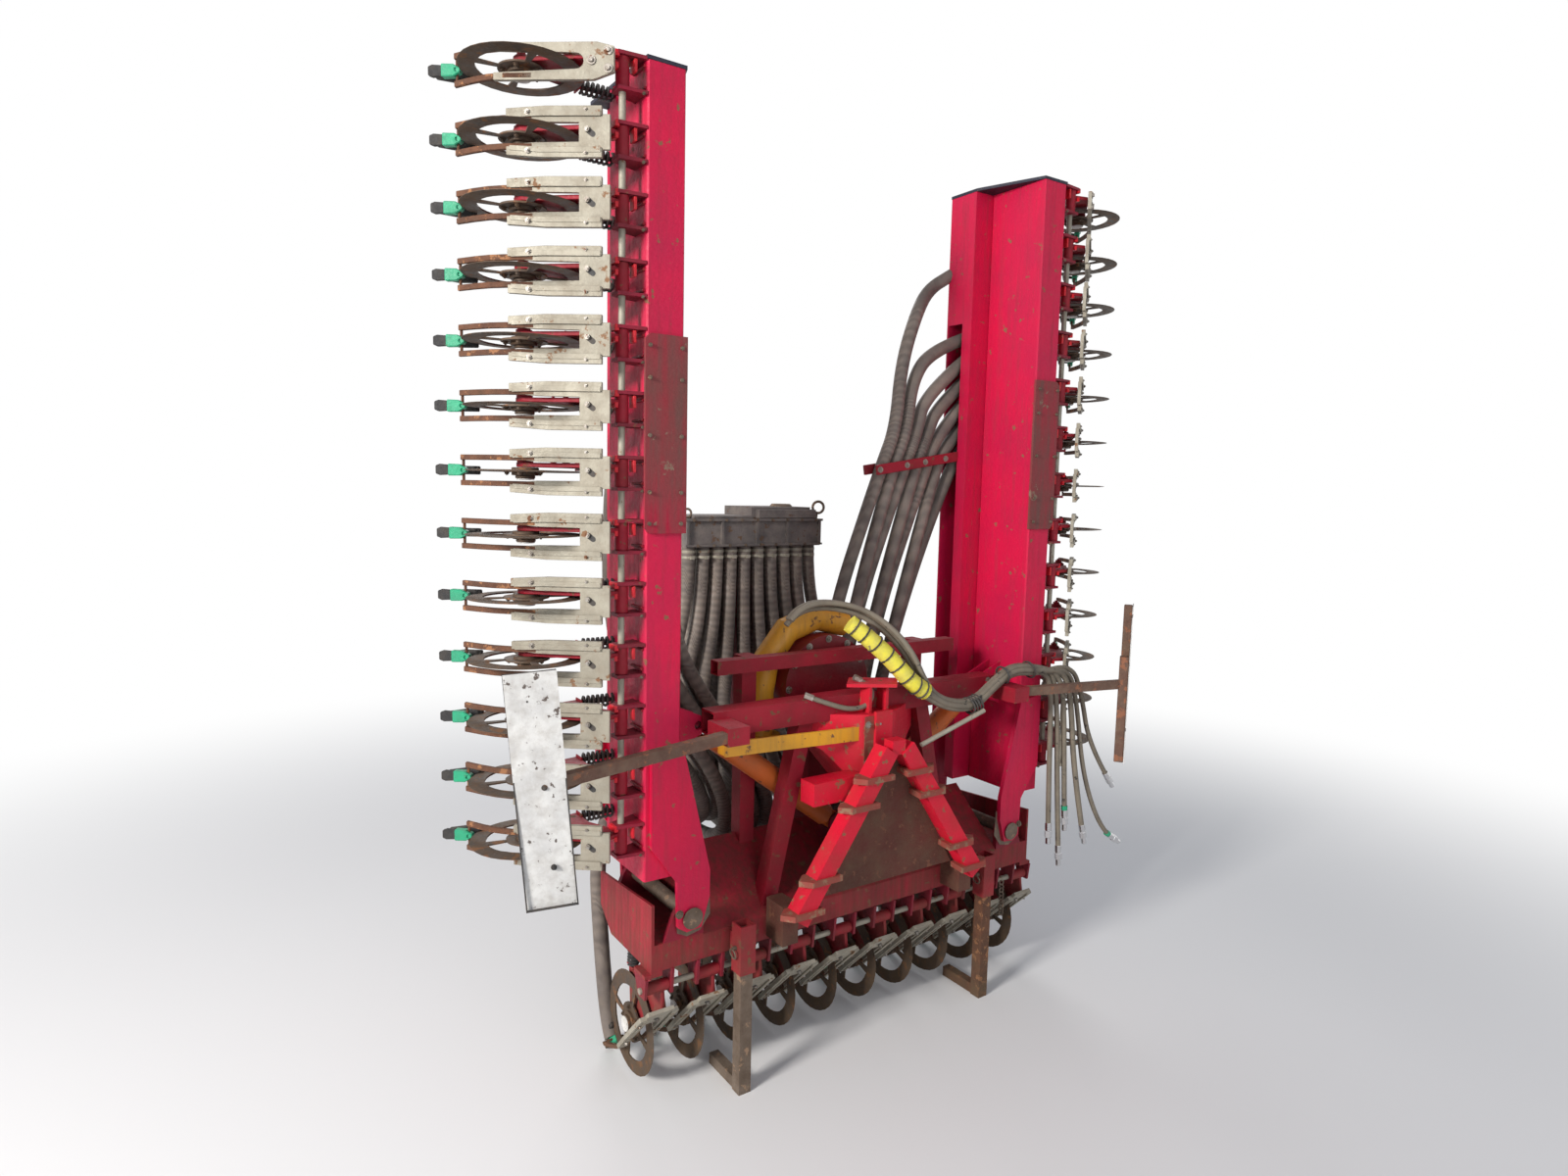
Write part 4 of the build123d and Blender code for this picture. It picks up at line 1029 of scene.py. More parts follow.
    def disc(self) -> Form:
        """Disc with four windows and a bevelled cutting edge.

        Returns:
            The form.
        """
        form = Form()
        mesh = form.mesh
        radii = (20.0, self.window_inner, self.window_outer, 158.0, self.disc_radius)
        chain = [mesh.verts.new(point(0, radius, 0)) for radius in radii]
        edges = [mesh.edges.new(pair) for pair in zip(chain, chain[1:])]
        steps = 32
        bmesh.ops.spin(mesh, geom=chain + edges, cent=(0, 0, 0), axis=(1, 0, 0), dvec=(0, 0, 0),
                       angle=math.tau, steps=steps, use_merge=True, use_duplicate=False)
        low, high = self.window_inner * MM, self.window_outer * MM
        holes = []
        for face in mesh.faces:
            middle = face.calc_center_median()
            reach = math.hypot(middle.y, middle.z)
            turn = math.atan2(middle.z, middle.y) % (math.pi / 2)
            if low < reach < high and 0.28 < turn < math.pi / 2:
                holes.append(face)
        bmesh.ops.delete(mesh, geom=holes, context="FACES")
        bmesh.ops.recalc_face_normals(mesh, faces=list(mesh.faces))
        bmesh.ops.solidify(mesh, geom=list(mesh.faces), thickness=0.0052)
        bmesh.ops.translate(mesh, vec=(0.0026, 0, 0), verts=list(mesh.verts))
        middle = sum(v.co.x for v in mesh.verts) / len(mesh.verts)
        bmesh.ops.translate(mesh, vec=(-middle, 0, 0), verts=list(mesh.verts))
        rim = [v for v in mesh.verts if math.hypot(v.co.y, v.co.z) > (self.disc_radius - 2) * MM]
        bmesh.ops.scale(mesh, vec=(0.25, 1, 1), verts=rim)
        bmesh.ops.translate(mesh, vec=point(0, *self.hub), verts=list(mesh.verts))
        y, z = self.hub
        form.rod(point(-13, y, z), point(11, y, z), 0.040, 20, soft=0.002)
        form.rod(point(-22, y, z), point(-12, y, z), 0.029, 18, soft=0.002)
        for turn in range(5):
            spot = math.tau * turn / 5
            form.bolt(point(-3, y + 53 * math.cos(spot), z + 53 * math.sin(spot)), (-1, 0, 0), 0.007)
        return form

    def cap(self) -> Form:
        """White ring cap on the hub.

        Returns:
            The form.
        """
        form = Form()
        y, z = self.hub
        form.rod(point(-25.5, y, z), point(-21.5, y, z), 0.0265, 18, soft=0.001)
        form.rod(point(-26, y, z), point(-25, y, z), 0.0165, 12)
        return form


@dataclass
class CoulterRows:
    """The three rows of coulters, each kind of part as one piece for each row."""

    coulter: Coulter
    rod_radius: float = 0.0105
    beam_over: float = 64.7
    seat_back: float = 232.0
    wing_spring: float = 65.0

    def centre_places(self) -> list[Matrix]:
        """Where the centre coulters park."""
        turn = Matrix.Rotation(PARK_TILT, 4, "X")
        return [Matrix.Translation((step * PITCH, ROD_Y, ROD_Z)) @ turn for step in CENTRE_STEPS]

    def wing_places(self, side: Side) -> list[Matrix]:
        """Where a folded wing's coulters stand.

        Args:
            side: which wing.

        Returns:
            A frame for each coulter.
        """
        turn = Matrix.Rotation(-math.pi / 2, 4, "Y")
        mirror = Matrix.Diagonal((side.value, 1, 1, 1))
        return [mirror @ Matrix.Translation((WING_ROD_X, ROD_Y, z)) @ turn for z in WING_HEIGHTS]

    def row(self, form: Form, places: Sequence[Matrix]) -> Form:
        """Copies of one part along a row.

        Args:
            form: the part, which is used up.
            places: the coulters' frames.

        Returns:
            The row.
        """
        whole = Form()
        for place in places:
            whole.add(form, place)
        form.mesh.free()
        return whole

    def build_row(self, prefix: str, places: Sequence[Matrix], body: str, disc_body: str,
                  spring_top: float) -> None:
        """Dress one row and stand its pieces in for the plain nodes.

        Args:
            prefix: start of the row's node names.
            places: the coulters' frames.
            body: body of the arms.
            disc_body: body of the discs.
            spring_top: how high the springs reach over the rod, in millimetres.
        """
        part = self.coulter
        usual = places if prefix == "centre" else places[:-1]
        whole = self.row(part.fork_plate(), usual)
        bolts = self.row(part.fork_bolts(), usual)
        if prefix != "centre":
            whole.add(part.end_fork_plate(), places[-1])
            bolts.add(part.end_fork_bolts(), places[-1])
        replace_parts(whole.piece(f"{prefix}_fork_plates", body, GALVANISED), f"{prefix}_forks")
        bolts.piece(f"{prefix}_fork_bolts", body, ZINC)
        # the black slot sheets are painted shade inside the fork plates' slots
        self.row(part.bolt_slot(), usual).piece(f"{prefix}_bolt_slots", body, BLACK)
        for form, name, carrier, finish, smooth, node in (
            (part.prongs(), "prongs", body, RUSTY, False, ""),
            (part.boot(), "boots", body, RUBBER, False, ""),
            (part.rubber_outlet(), "outlet_rubbers", body, RUBBER, False, "outlets"),
            (part.green_block(), "green_blocks", body, GREEN, False, ""),
            (part.arm(), "arm_plates", body, DARK_RED, True, "arms"),
            (part.spring(spring_top), "coils", body, BLACK, True, "springs"),
            (part.disc(), "windowed_discs", disc_body, DISC_STEEL, True, "discs"),
            (part.cap(), "hub_caps", disc_body, CAP_WHITE, True, ""),
        ):
            made = self.row(form, places).piece(f"{prefix}_{name}", carrier, finish, smooth)
            if node:
                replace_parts(made, f"{prefix}_{node}")

    def build(self) -> None:
        """Dress the three rows."""
        top = (self.beam_over - self.seat_back * math.sin(PARK_TILT)) / math.cos(PARK_TILT)
        self.build_row("centre", self.centre_places(), "frame", "discs_centre", top)
        for side in Side:
            discs = f"discs_{side.word}"
            self.build_row(side.word, self.wing_places(side), side.wing, discs, self.wing_spring)
        self.rods()

    def rods(self) -> None:
        """Round pivot rods between the lugs."""
        form = Form()
        half = CENTRE_STEPS[-1] * PITCH + ROD_PAST
        form.rod((-half, ROD_Y, ROD_Z), (half, ROD_Y, ROD_Z), self.rod_radius)
        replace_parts(form.piece("centre_pivot_rod", "frame", GALVANISED, smooth=True), "centre_rods")
        for side in Side:
            form = Form()
            x = side.value * WING_ROD_X
            low, high = WING_HEIGHTS[0] - ROD_PAST, WING_HEIGHTS[-1] + ROD_PAST
            form.rod((x, ROD_Y, low), (x, ROD_Y, high), self.rod_radius)
            rod = form.piece(f"{side.word}_pivot_rod", side.wing, GALVANISED, smooth=True)
            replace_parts(rod, f"{side.word}_rods")


@dataclass
class Hoses:
    """Slurry hoses from the distributor to the centre row and up to the wings."""

    radius: float = 0.0285
    wing_radius: float = 0.0275
    row_y: float = FRONT + 0.860
    under: float = 1.795
    back: float = BACK - 0.005
    spigot_gap: float = 0.068
    clamp_slope: float = math.radians(9)
    clamp_place: Point = (0.455, DUCT_MOUTH, 2.160)

    @staticmethod
    def parked(low: float, back: float) -> Point:
        """Place behind a parked coulter's boot.

        Args:
            low: where the coulter stands across.
            back: how far behind the fork, in millimetres.

        Returns:
            The place.
        """
        y, z = (value * MM for value in along_fork(428, back))
        cos, sin = math.cos(PARK_TILT), math.sin(PARK_TILT)
        return low, ROD_Y + y * cos - z * sin, ROD_Z + y * sin + z * cos

    def centre_route(self, step: float) -> list[Point]:
        """Control points of the centre hose that is some steps from the middle one.

        Args:
            step: how many hoses from the middle.

        Returns:
            The points.
        """
        top, low = step * self.spigot_gap, step * PITCH
        return [
            (top, self.row_y, self.under), (top, self.row_y, self.under - 0.300),
            (top + (low - top) * 0.4, self.row_y - 0.070, self.under - 0.700),
            (low, self.back + 0.120, 0.760), (low, self.back + 0.075, 0.400),
            self.parked(low, 128), self.parked(low, 69),
        ]

    def build(self) -> None:
        """Make the hoses and their clamps."""
        tubes = [hose_line(self.centre_route(step), self.radius) for step in CENTRE_STEPS]
        centre = join_hoses("centre_slurry_hoses", tubes, HOSE)
        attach(centre, "frame")
        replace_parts(centre, "centre_hoses")
        clamps = Form()
        front = self.row_y - self.radius
        for step in CENTRE_STEPS:
            x = step * self.spigot_gap
            for z in (1.772, 1.748):
                clamps.rod((x, self.row_y, z), (x, self.row_y, z + 0.011), self.radius + 0.0022, 18)
            clamps.box((x - 0.008, front - 0.012, 1.746), (x + 0.008, front, 1.760))
        clamps.piece("hose_clamps", "frame", GALVANISED)
        for side, routes, start, end in (
            (Side.RIGHT, self.clamped_routes(), (0.300, 0.100, 1.440), (0.382, -0.312, 1.852)),
            (Side.LEFT, self.hidden_routes(), (-0.300, 0.030, 1.200), (-0.600, 0.030, 1.200)),
        ):
            sided = [[(side.value * x, y, z) for x, y, z in route] for route in routes]
            lines = [hose_line(route, self.wing_radius, smooth_steps=16) for route in sided]
            bundle = join_hoses(f"{side.word}_wing_hoses", lines, HOSE)
            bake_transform(bundle)
            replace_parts(bundle, f"hoses_{side.word}")
        self.clamp()

    def clamp(self) -> None:
        """Red bars before and behind the right wing's hoses, with their bolts."""
        bars, bolts = Form(), Form()
        seat = Matrix.Translation(self.clamp_place) @ Matrix.Rotation(-self.clamp_slope, 4, "Y")
        reach = self.wing_radius + 0.012
        for y in (-reach, reach):
            bars.box((-0.200, y - 0.008, -0.020), (0.245, y + 0.008, 0.020), 0.002, seat)
        for x in (-0.188, -0.045, 0.055, 0.170):
            bolts.bolt(seat @ Vector((x, -reach - 0.008, 0)), FORWARD, 0.009)
        bars.piece("hose_clamp_bars", "wing_right", DARK_RED)
        bolts.piece("hose_clamp_bolts", "wing_right", ZINC)

    def rise(self, index: int) -> tuple[list[Point], float]:
        """Control points of a wing hose up to where it leaves the frame's back, and its depth there.

        Args:
            index: the hose's number, from the middle out.

        Returns:
            The points and the depth.
        """
        column, row = divmod(index, 2)
        x, y = 0.058 + 0.062 * column, FRONT + 0.930 + 0.065 * row
        low = 0.720 - 0.080 * row
        depth = self.back + (0.120, 0.055)[row]
        gap, place = ((0.190, column), (0.380, column - 2))[column > 1]
        rise_x = gap + (place - 0.6) * 0.060
        points = [(x, y, self.under), (x, y, low + 0.620), (rise_x, y - 0.060, low), (rise_x, depth, low)]
        points.append((rise_x, depth, 0.900 - 0.030 * (column % 2)))
        return points, depth

    def clamped_routes(self) -> list[list[Point]]:
        """Right wing's hoses, over the clamp and into the duct's mouth.

        Returns:
            The points of each hose.
        """
        upper = (
            ((311, 2140), (383, 2300), (402, 2560), (469, 2761)),
            ((371, 2140), (443, 2300), (462, 2500), (560, 2630), (755, 2700)),
            ((431, 2140), (503, 2300), (530, 2440), (755, 2606)),
            ((491, 2140), (563, 2300), (600, 2390), (755, 2516)),
            ((551, 2140), (615, 2290), (755, 2420)),
            ((611, 2140), (650, 2225), (755, 2325)),
            ((665, 2110), (755, 2225)),
        )
        routes = []
        for index, run in enumerate(upper):
            points, depth = self.rise(index)
            points.append((0.180 + 0.062 * index, depth, 1.450))
            points += [(x * MM, DUCT_MOUTH, z * MM) for x, z in run]
            if index == 0:
                points += [(0.620, BACK + 0.048, 2.900), (0.700, BACK, 2.960), (0.760, BACK + 0.002, 2.995)]
            routes.append(points)
        return routes

    def hidden_routes(self) -> list[list[Point]]:
        """Left wing's hoses, up behind the duct and into its back, drawn on the right.

        Returns:
            The points of each hose.
        """
        upper = (
            ((605, 2860), (790, 3010)),
            ((605, 1950), (745, 2100)),
            ((670, 2550), (750, 2700)),
            ((670, 1750), (745, 1900)),
            ((735, 2350), (760, 2500)),
            ((735, 1550), (745, 1700)),
            ((800, 2150), (800, 2300)),
        )
        routes = []
        for index, ((rise_x, rise_z), (end_x, end_z)) in enumerate(upper):
            points, depth = self.rise(index)
            x = rise_x * MM
            points += [(x, depth, 1.450 - 0.030 * (index // 2)), (x, depth, rise_z * MM),
                       (end_x * MM, BACK - 0.004, end_z * MM)]
            routes.append(points)
        return routes


@dataclass
class Tower:
    """Small parts of one folded wing: bolts, tabs, end sheet, welds and hinge details."""

    side: Side
    inner: float = 0.790
    outer: float = 0.915
    duct: float = 0.695
    tube_back: float = FRONT + 0.275
    top: float = 3.272
    sheet: float = 0.0105
    pin_x: float = 0.750
    pin_z: float = 0.650
    pin_head: float = 0.036

    def build(self) -> None:
        """Dress the tower."""
        self.bolts()
        self.tabs()
        self.foot()
        self.patch()
        self.lid()
        self.welds()

    def out(self, distance: float) -> float:
        """Place across, from a distance outwards."""
        return self.side.value * distance

    def carried(self, form: Form, name: str, finish: Finish, smooth: bool = False) -> None:
        """Make a form a piece of this wing."""
        form.piece(f"{self.side.word}_{name}", self.side.wing, finish, smooth)

    def lid(self) -> None:
        """End sheet on the tower in dark navy, which is painted shade of the tower's top, and its bolts."""
        form = Form()
        outline = [(self.inner - 0.002, FRONT - 0.002), (self.outer + 0.003, FRONT - 0.002),
                   (self.outer + 0.003, BACK + 0.002), (self.duct - 0.002, BACK + 0.002),
                   (self.duct - 0.002, self.tube_back - 0.002)]
        form.plate([(self.out(x), y) for x, y in outline], self.top - 0.001, self.top + self.sheet,
                   "Z", 0.0006)
        # the sheet's dark navy is painted shade
        self.carried(form, "end_sheet", END_SHEET_SHADE)
        bolts = Form()
        for y in (FRONT + 0.03, FRONT + 0.14, FRONT + 0.25):
            for x in (self.inner + 0.02, self.outer - 0.02):
                bolts.bolt((self.out(x), y, self.top + self.sheet), UP, 0.006)
        self.carried(bolts, "end_bolts", ZINC)

    def welds(self) -> None:
        """Weld beads where each lug meets the tower, and the small nuts beside them."""
        beads, nuts = Form(), Form()
        weld_x, nut_x = self.out(self.outer + 0.003), self.out(self.outer + 0.012)
        for middle in WING_HEIGHTS:
            for z in (middle - 0.030, middle + 0.030):
                beads.rod((weld_x, FRONT + 0.012, z), (weld_x, FRONT + 0.090, z), 0.0045, 8)
            nuts.bolt((nut_x, FRONT + 0.004, middle - 0.052), FORWARD, 0.005, washer=False)
        self.carried(beads, "lug_welds", DARK_RED, smooth=True)
        self.carried(nuts, "lug_nuts", BARE)

    def bolts(self) -> None:
        """Bolts of the doubler plate."""
        form = Form()
        for z in (1.935, 2.03, 2.20, 2.37, 2.465):
            for x in (self.inner + 0.012, self.outer - 0.006):
                form.bolt((self.out(x), FRONT - 0.010, z), FORWARD, 0.0065, washer=False)
        self.carried(form, "doubler_bolts", BARE)

    def tabs(self) -> None:
        """Bright stop strips inside the lugs, and the small stops outside the rod."""
        form = Form()
        for z in WING_HEIGHTS:
            for near, far, front, back, low, high in (
                (0.944, 0.953, 0.008, 0.040, 0.004, 0.040),
                (0.998, 1.012, 0.010, 0.052, 0.034, 0.052),
                (1.000, 1.011, 0.012, 0.048, 0.002, 0.018),
            ):
                left, right = sorted((self.out(near), self.out(far)))
                form.box((left, FRONT + front, z + low), (right, FRONT + back, z + high), 0.001)
        self.carried(form, "lug_tabs", BRIGHT_RED)

    def patch(self) -> None:
        """Worn brown patch at the foot of the wing's ear."""
        outline = [(0.800, 0.640), (0.757, 0.738), (0.705, 0.722), (0.678, 0.742), (0.673, 0.640),
                   (0.710, 0.592), (0.760, 0.582), (0.795, 0.600)]
        form = Form()
        form.plate([(self.out(x), z) for x, z in outline], FRONT - 0.0012, FRONT - 0.0002, "Y")
        self.carried(form, "worn_patch", BARE)

    def foot(self) -> None:
        """Heads of the fold hinge's pin and the bolt beside them."""
        form = Form()
        x, z = self.out(self.pin_x), self.pin_z
        for y in (FRONT - 0.027, BACK + 0.020):
            form.rod((x, y, z), (x, y + 0.005, z), self.pin_head, 22, soft=0.001)
        form.bolt((x + self.out(0.047), FRONT - 0.018, z + 0.022), FORWARD, 0.010)
        form.piece(f"{self.side.word}_hinge_heads", "frame", BARE, smooth=True)


@dataclass
class Distributor:
    """Lids, flanges, stiffeners, bolts and eyes of the distributor on its mast."""

    half: float = 0.335
    front: float = FRONT + 0.820
    back: float = FRONT + 1.110
    low: float = 1.795
    high: float = 1.915
    rim: float = 0.012

    def build(self) -> None:
        """Dress the box."""
        front, low, high, edge = self.front, self.low, self.high, self.half + self.rim
        plates = Form()
        plates.box((-edge, front - 0.014, low + 0.004), (edge, front, low + 0.012))
        plates.box((-edge, front - 0.016, high - 0.010), (edge, front, high))
        plates.box((0.010, front - 0.006, high), (0.318, self.back - 0.03, high + 0.040), 0.004)
        plates.box((-0.300, front + 0.010, high), (-0.010, self.back - 0.05, high + 0.012), 0.003)
        for x in (-self.half, -0.170, 0.002, 0.160, self.half):
            plates.box((x - 0.005, front - 0.012, low + 0.010), (x + 0.005, front, high - 0.008))
        plates.piece("distributor_plates", "frame", WEATHERED)
        small = Form()
        for step in range(9):
            x = -0.31 + step * 0.0775
            small.bolt((x, front - 0.016, high - 0.005), FORWARD, 0.0055)
            small.bolt((x + 0.02, front - 0.014, low + 0.008), FORWARD, 0.005)
        y = front + 0.020
        small.ring((0.345, y, high + 0.050), (0.35, 1, 0), 0.026, 0.006)
        small.rod((0.330, y, high - 0.010), (0.336, y, high + 0.030), 0.008, 12)
        small.ring((-0.318, y + 0.010, high + 0.022), (0, 1, 0), 0.018, 0.005)
        x, y = 0.215, front + 0.130
        small.rod((x, y, high + 0.038), (x, y, high + 0.062), 0.050, 24, soft=0.008)
        small.piece("distributor_fittings", "frame", BARE, smooth=True)


@dataclass
class HitchHead:
    """Side plate of the hitch head, and the nuts on it, on the drum and on the cross beam."""

    front: float = FRONT - 0.055
    plate: float = FRONT - 0.0575
    drum: Point = (-0.030, FRONT + 0.238, 1.300)
    drum_ring: float = 0.180

    def build(self) -> None:
        """Make the plate and the nuts."""
        brown = Form()
        brown.box((-0.080, self.plate, 1.030), (-0.004, self.front, 1.245))
        brown.piece("head_side_plate", "frame", COLLAR)
        nuts = Form()
        for x, z in ((-0.066, 1.215), (-0.018, 1.215), (-0.066, 1.075), (-0.018, 1.075)):
            nuts.bolt((x, self.plate, z), FORWARD, 0.009)
        for turn in range(12):
            angle = math.tau * turn / 12
            ray = Vector((math.cos(angle), 0, math.sin(angle)))
            nuts.bolt(Vector(self.drum) + ray * self.drum_ring, FORWARD, 0.010)
        for x in (0.615, 0.645):
            for z in (1.245, 1.295):
                nuts.bolt((x, FRONT + 0.0195, z), FORWARD, 0.009)
        nuts.piece("head_nuts", "frame", ZINC)


@dataclass(frozen=True)
class Line:
    """One free hydraulic hose.

    Attributes:
        name: its piece's name.
        start: points before it joins the bundle.
        end: points after it leaves the bundle; the last one is its free end.
        diameter: outer diameter.
        green: whether its coupling carries a green ring.
    """

    name: str
    start: tuple[Point, ...]
    end: tuple[Point, ...]
    diameter: float
    green: bool


@dataclass
class Hydraulics:
    """Bundle of hydraulic hoses from the drum over the right marker bar, and its couplings."""

    trunk: tuple[Point, ...] = (
        (0.210, -0.500, 1.300), (0.310, -0.505, 1.245), (0.451, -0.502, 1.228), (0.560, -0.502, 1.300),
        (0.660, -0.502, 1.352), (0.800, -0.506, 1.335),
    )
    over: tuple[Point, ...] = ((-0.283, -0.300, 1.560), (-0.240, -0.300, 1.610), (-0.095, -0.310, 1.620),
                               (0.050, -0.360, 1.575), (0.150, -0.450, 1.460))
    wrapped: tuple[Point, ...] = ((-0.085, -0.395, 1.570), (-0.020, -0.430, 1.515), (0.070, -0.460, 1.430),
                                  (0.135, -0.495, 1.345))
    depth: float = -0.512
    bundle_y: float = -0.502
    bundle_radius: float = 0.034
    loop_diameter: float = 0.018
    green_marked: tuple[str, ...] = ("hose_c", "hose_e")

    def lines(self) -> tuple[Line, ...]:
        """The six hoses of the bundle with where each one hangs, across and up.

        Returns:
            The hoses.
        """
        hung = (
            ("hose_a", self.over, ((0.890, 1.300), (0.908, 1.150), (0.915, 0.900), (0.929, 0.655)), 0.022),
            ("hose_b", self.over, ((0.905, 1.320), (0.942, 1.150), (0.965, 0.850), (0.996, 0.545)), 0.022),
            ("hose_c", self.over, ((0.935, 1.310), (0.975, 1.160), (0.992, 0.950), (1.014, 0.700)), 0.022),
            ("hose_d", self.wrapped, ((0.960, 1.320), (1.015, 1.180), (1.050, 0.900),
                                      (1.130, 0.615)), 0.024),
            ("hose_e", self.wrapped, ((0.990, 1.330), (1.055, 1.180), (1.120, 0.850), (1.260, 0.585),
                                      (1.335, 0.535)), 0.020),
            ("hose_f", self.wrapped, ((1.020, 1.340), (1.095, 1.200), (1.160, 0.980),
                                      (1.292, 0.820)), 0.020),
        )
        return tuple(
            Line(name, start, tuple((x, self.depth, z) for x, z in run), diameter, name in self.green_marked)
            for name, start, run, diameter in hung
        )

    def build(self) -> None:
        """Make each hose, its coupling, the wrap and the ties."""
        for index, line in enumerate(self.lines()):
            turn = math.tau * index / 6
            shift = Vector((0, 0.0135 * math.cos(turn), 0.0165 * math.sin(turn)))
            start = [Vector(place) + shift * 1.5 for place in line.start]
            trunk = [Vector(place) + shift for place in self.trunk]
            end = [Vector((x, y + shift.y * 0.6, z)) for x, y, z in line.end]
            self.hose(line, start + trunk + end)
        self.wrap()
        self.ties()
        self.loop()

    def hose(self, line: Line, route: Sequence[Vector]) -> None:
        """Free hose as a curve with its coupling.

        Args:
            line: the hose's facts.
            route: its control points.
        """
        made, length = free_hose(line.name, route, line.diameter, HYDRAULIC)
        way = (route[-1] - route[-2]).normalized()
        tip = route[-1]
        coupling = Form()
        coupling.rod(tip - way * 0.012, tip + way * 0.022, 0.0135, 14, soft=0.001)
        coupling.rod(tip + way * 0.022, tip + way * 0.052, 0.0165, 6, soft=0.001)
        coupling.rod(tip + way * 0.052, tip + way * 0.082, 0.0110, 14, soft=0.002)
        pieces = [coupling.piece(f"{line.name}_coupling", "frame", CHROME)]
        if line.green:
            ring = Form()
            ring.rod(tip - way * 0.030, tip - way * 0.012, 0.0135, 16)
            pieces.append(ring.piece(f"{line.name}_mark", "frame", GREEN))

    def wrap(self) -> None:
        """Yellow sleeve around the wrapped hoses, with black ties."""
        x, y, z = self.trunk[0]
        route = [Vector(place) for place in (*self.wrapped, (x - 0.010, y, z + 0.010))]
        sleeve = join_hoses("yellow_sleeve", [hose_line(route, self.bundle_radius, smooth_steps=3)], SLEEVE)
        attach(sleeve, "frame")
        ties = Form()
        for first, second in zip(route, route[1:]):
            for share in (0.25, 0.75):
                place = first.lerp(second, share)
                ties.ring(place, second - first, self.bundle_radius, 0.0035)
        ties.piece("sleeve_ties", "frame", BLACK, smooth=True)

    def ties(self) -> None:
        """Cord wound around the bundle, and the pale rod that is tucked under it."""
        ties = Form()
        for x, z in ((0.428, 1.228), (0.442, 1.228), (0.456, 1.231), (0.470, 1.235),
                     (0.610, 1.332), (0.760, 1.340)):
            ties.ring((x, self.bundle_y, z), (1, 0, 0.3), self.bundle_radius, 0.004)
        ties.piece("bundle_ties", "frame", BLACK, smooth=True)
        rod = Form()
        rod.rod((0.176, -0.515, 1.112), (0.468, -0.545, 1.215), 0.009, 10)
        rod.piece("tucked_rod", "frame", GALVANISED, smooth=True)

    def loop(self) -> None:
        """Short hose between two fittings beside the turret."""
        route = [point(*place) for place in (
            (-270, -405, 1322), (-215, -445, 1300), (-120, -455, 1268), (-35, -450, 1270),
            (0, -440, 1310), (-20, -430, 1345), (-60, -415, 1368))]
        made, length = free_hose("turret_hose", route, self.loop_diameter, HYDRAULIC)
        fittings = Form()
        for place, way in ((route[0], route[0] - route[1]), (route[-1], route[-1] - route[-2])):
            way = way.normalized()
            fittings.rod(place - way * 0.020, place + way * 0.012, 0.0125, 6)
        ends = fittings.piece("turret_hose_fittings", "frame", ZINC)


@dataclass
class Boards:
    """Planks, rim and bolts of the marker boards."""

    depth: float = FRONT - 0.192
    height: float = 0.665

    def build(self) -> None:
        """Two planks on the right board, a dark rim and bolts on the left one."""
        right = Matrix.Translation((1.241, self.depth, 1.258)) @ Matrix.Rotation(math.radians(35), 4, "Z")
        planks = Form()
        planks.box((-0.062, 0.002, -0.330), (-0.020, 0.040, 0.120), 0.003, right)
        planks.box((0.004, 0.002, -0.260), (0.050, 0.036, 0.330), 0.003, right)
        planks.piece("right_planks", "frame", WOODEN)
        left = Matrix.Translation((-1.314, self.depth, 1.220)) @ Matrix.Rotation(math.radians(-20), 4, "Z")
        left = left @ Matrix.Rotation(math.radians(-5), 4, "Y")
        rim = Form()
        half = self.height / 2
        for low, high in (
            ((-0.0703, -0.003, -half - 0.0004), (-0.0665, 0.003, half + 0.0004)),
            ((0.0665, -0.003, -half - 0.0004), (0.0703, 0.003, half + 0.0004)),
            ((-0.0700, -0.003, -half - 0.0004), (0.0700, 0.003, -half + 0.0045)),
            ((-0.0700, -0.003, half - 0.0045), (0.0700, 0.003, half + 0.0004)),
        ):
            rim.box(low, high, 0.0, left)
        for x, z in ((-0.012, 0.255), (0.010, 0.012), (0.014, -0.215)):
            place = left @ Vector((x, -0.002, z))
            rim.bolt(place, left.to_3x3() @ Vector(FORWARD), 0.006)
        rim.piece("left_board_rim", "frame", BLACK)


@dataclass
class Chains:
    """Small chain at the frame's right end and pin rings on the stands."""

    top: Point = (0.716, -0.452, 0.440)
    end: Point = (0.722, -0.452, 0.290)
    link: float = 0.017
    stand_x: float = 0.570
    pin_y: float = FRONT - 0.050
    pin_z: float = 0.520

    def build(self) -> None:
        """Hang the chain, every other link turned, and put a ring through each stand's pin."""
        chain = Form()
        start, end = Vector(self.top), Vector(self.end)
        links = round((end - start).length / self.link)
        for step in range(links):
            place = start.lerp(end, (step + 0.5) / links)
            chain.ring(place, (1, 0.2, 0) if step % 2 else (0.2, 1, 0), 0.0095, 0.0028)
        chain.piece("right_chain", "frame", BARE, smooth=True)
        rings = Form()
        for x in (-self.stand_x, self.stand_x):
            for low, high in ((x - 0.044, x - 0.030), (x + 0.030, x + 0.044)):
                rings.rod((low, self.pin_y, self.pin_z), (high, self.pin_y, self.pin_z), 0.007, 12)
            rings.ring((x - 0.042, self.pin_y, self.pin_z - 0.018), (1, 0, 0.2), 0.017, 0.003)
        rings.piece("stand_pins", "frame", BARE, smooth=True)


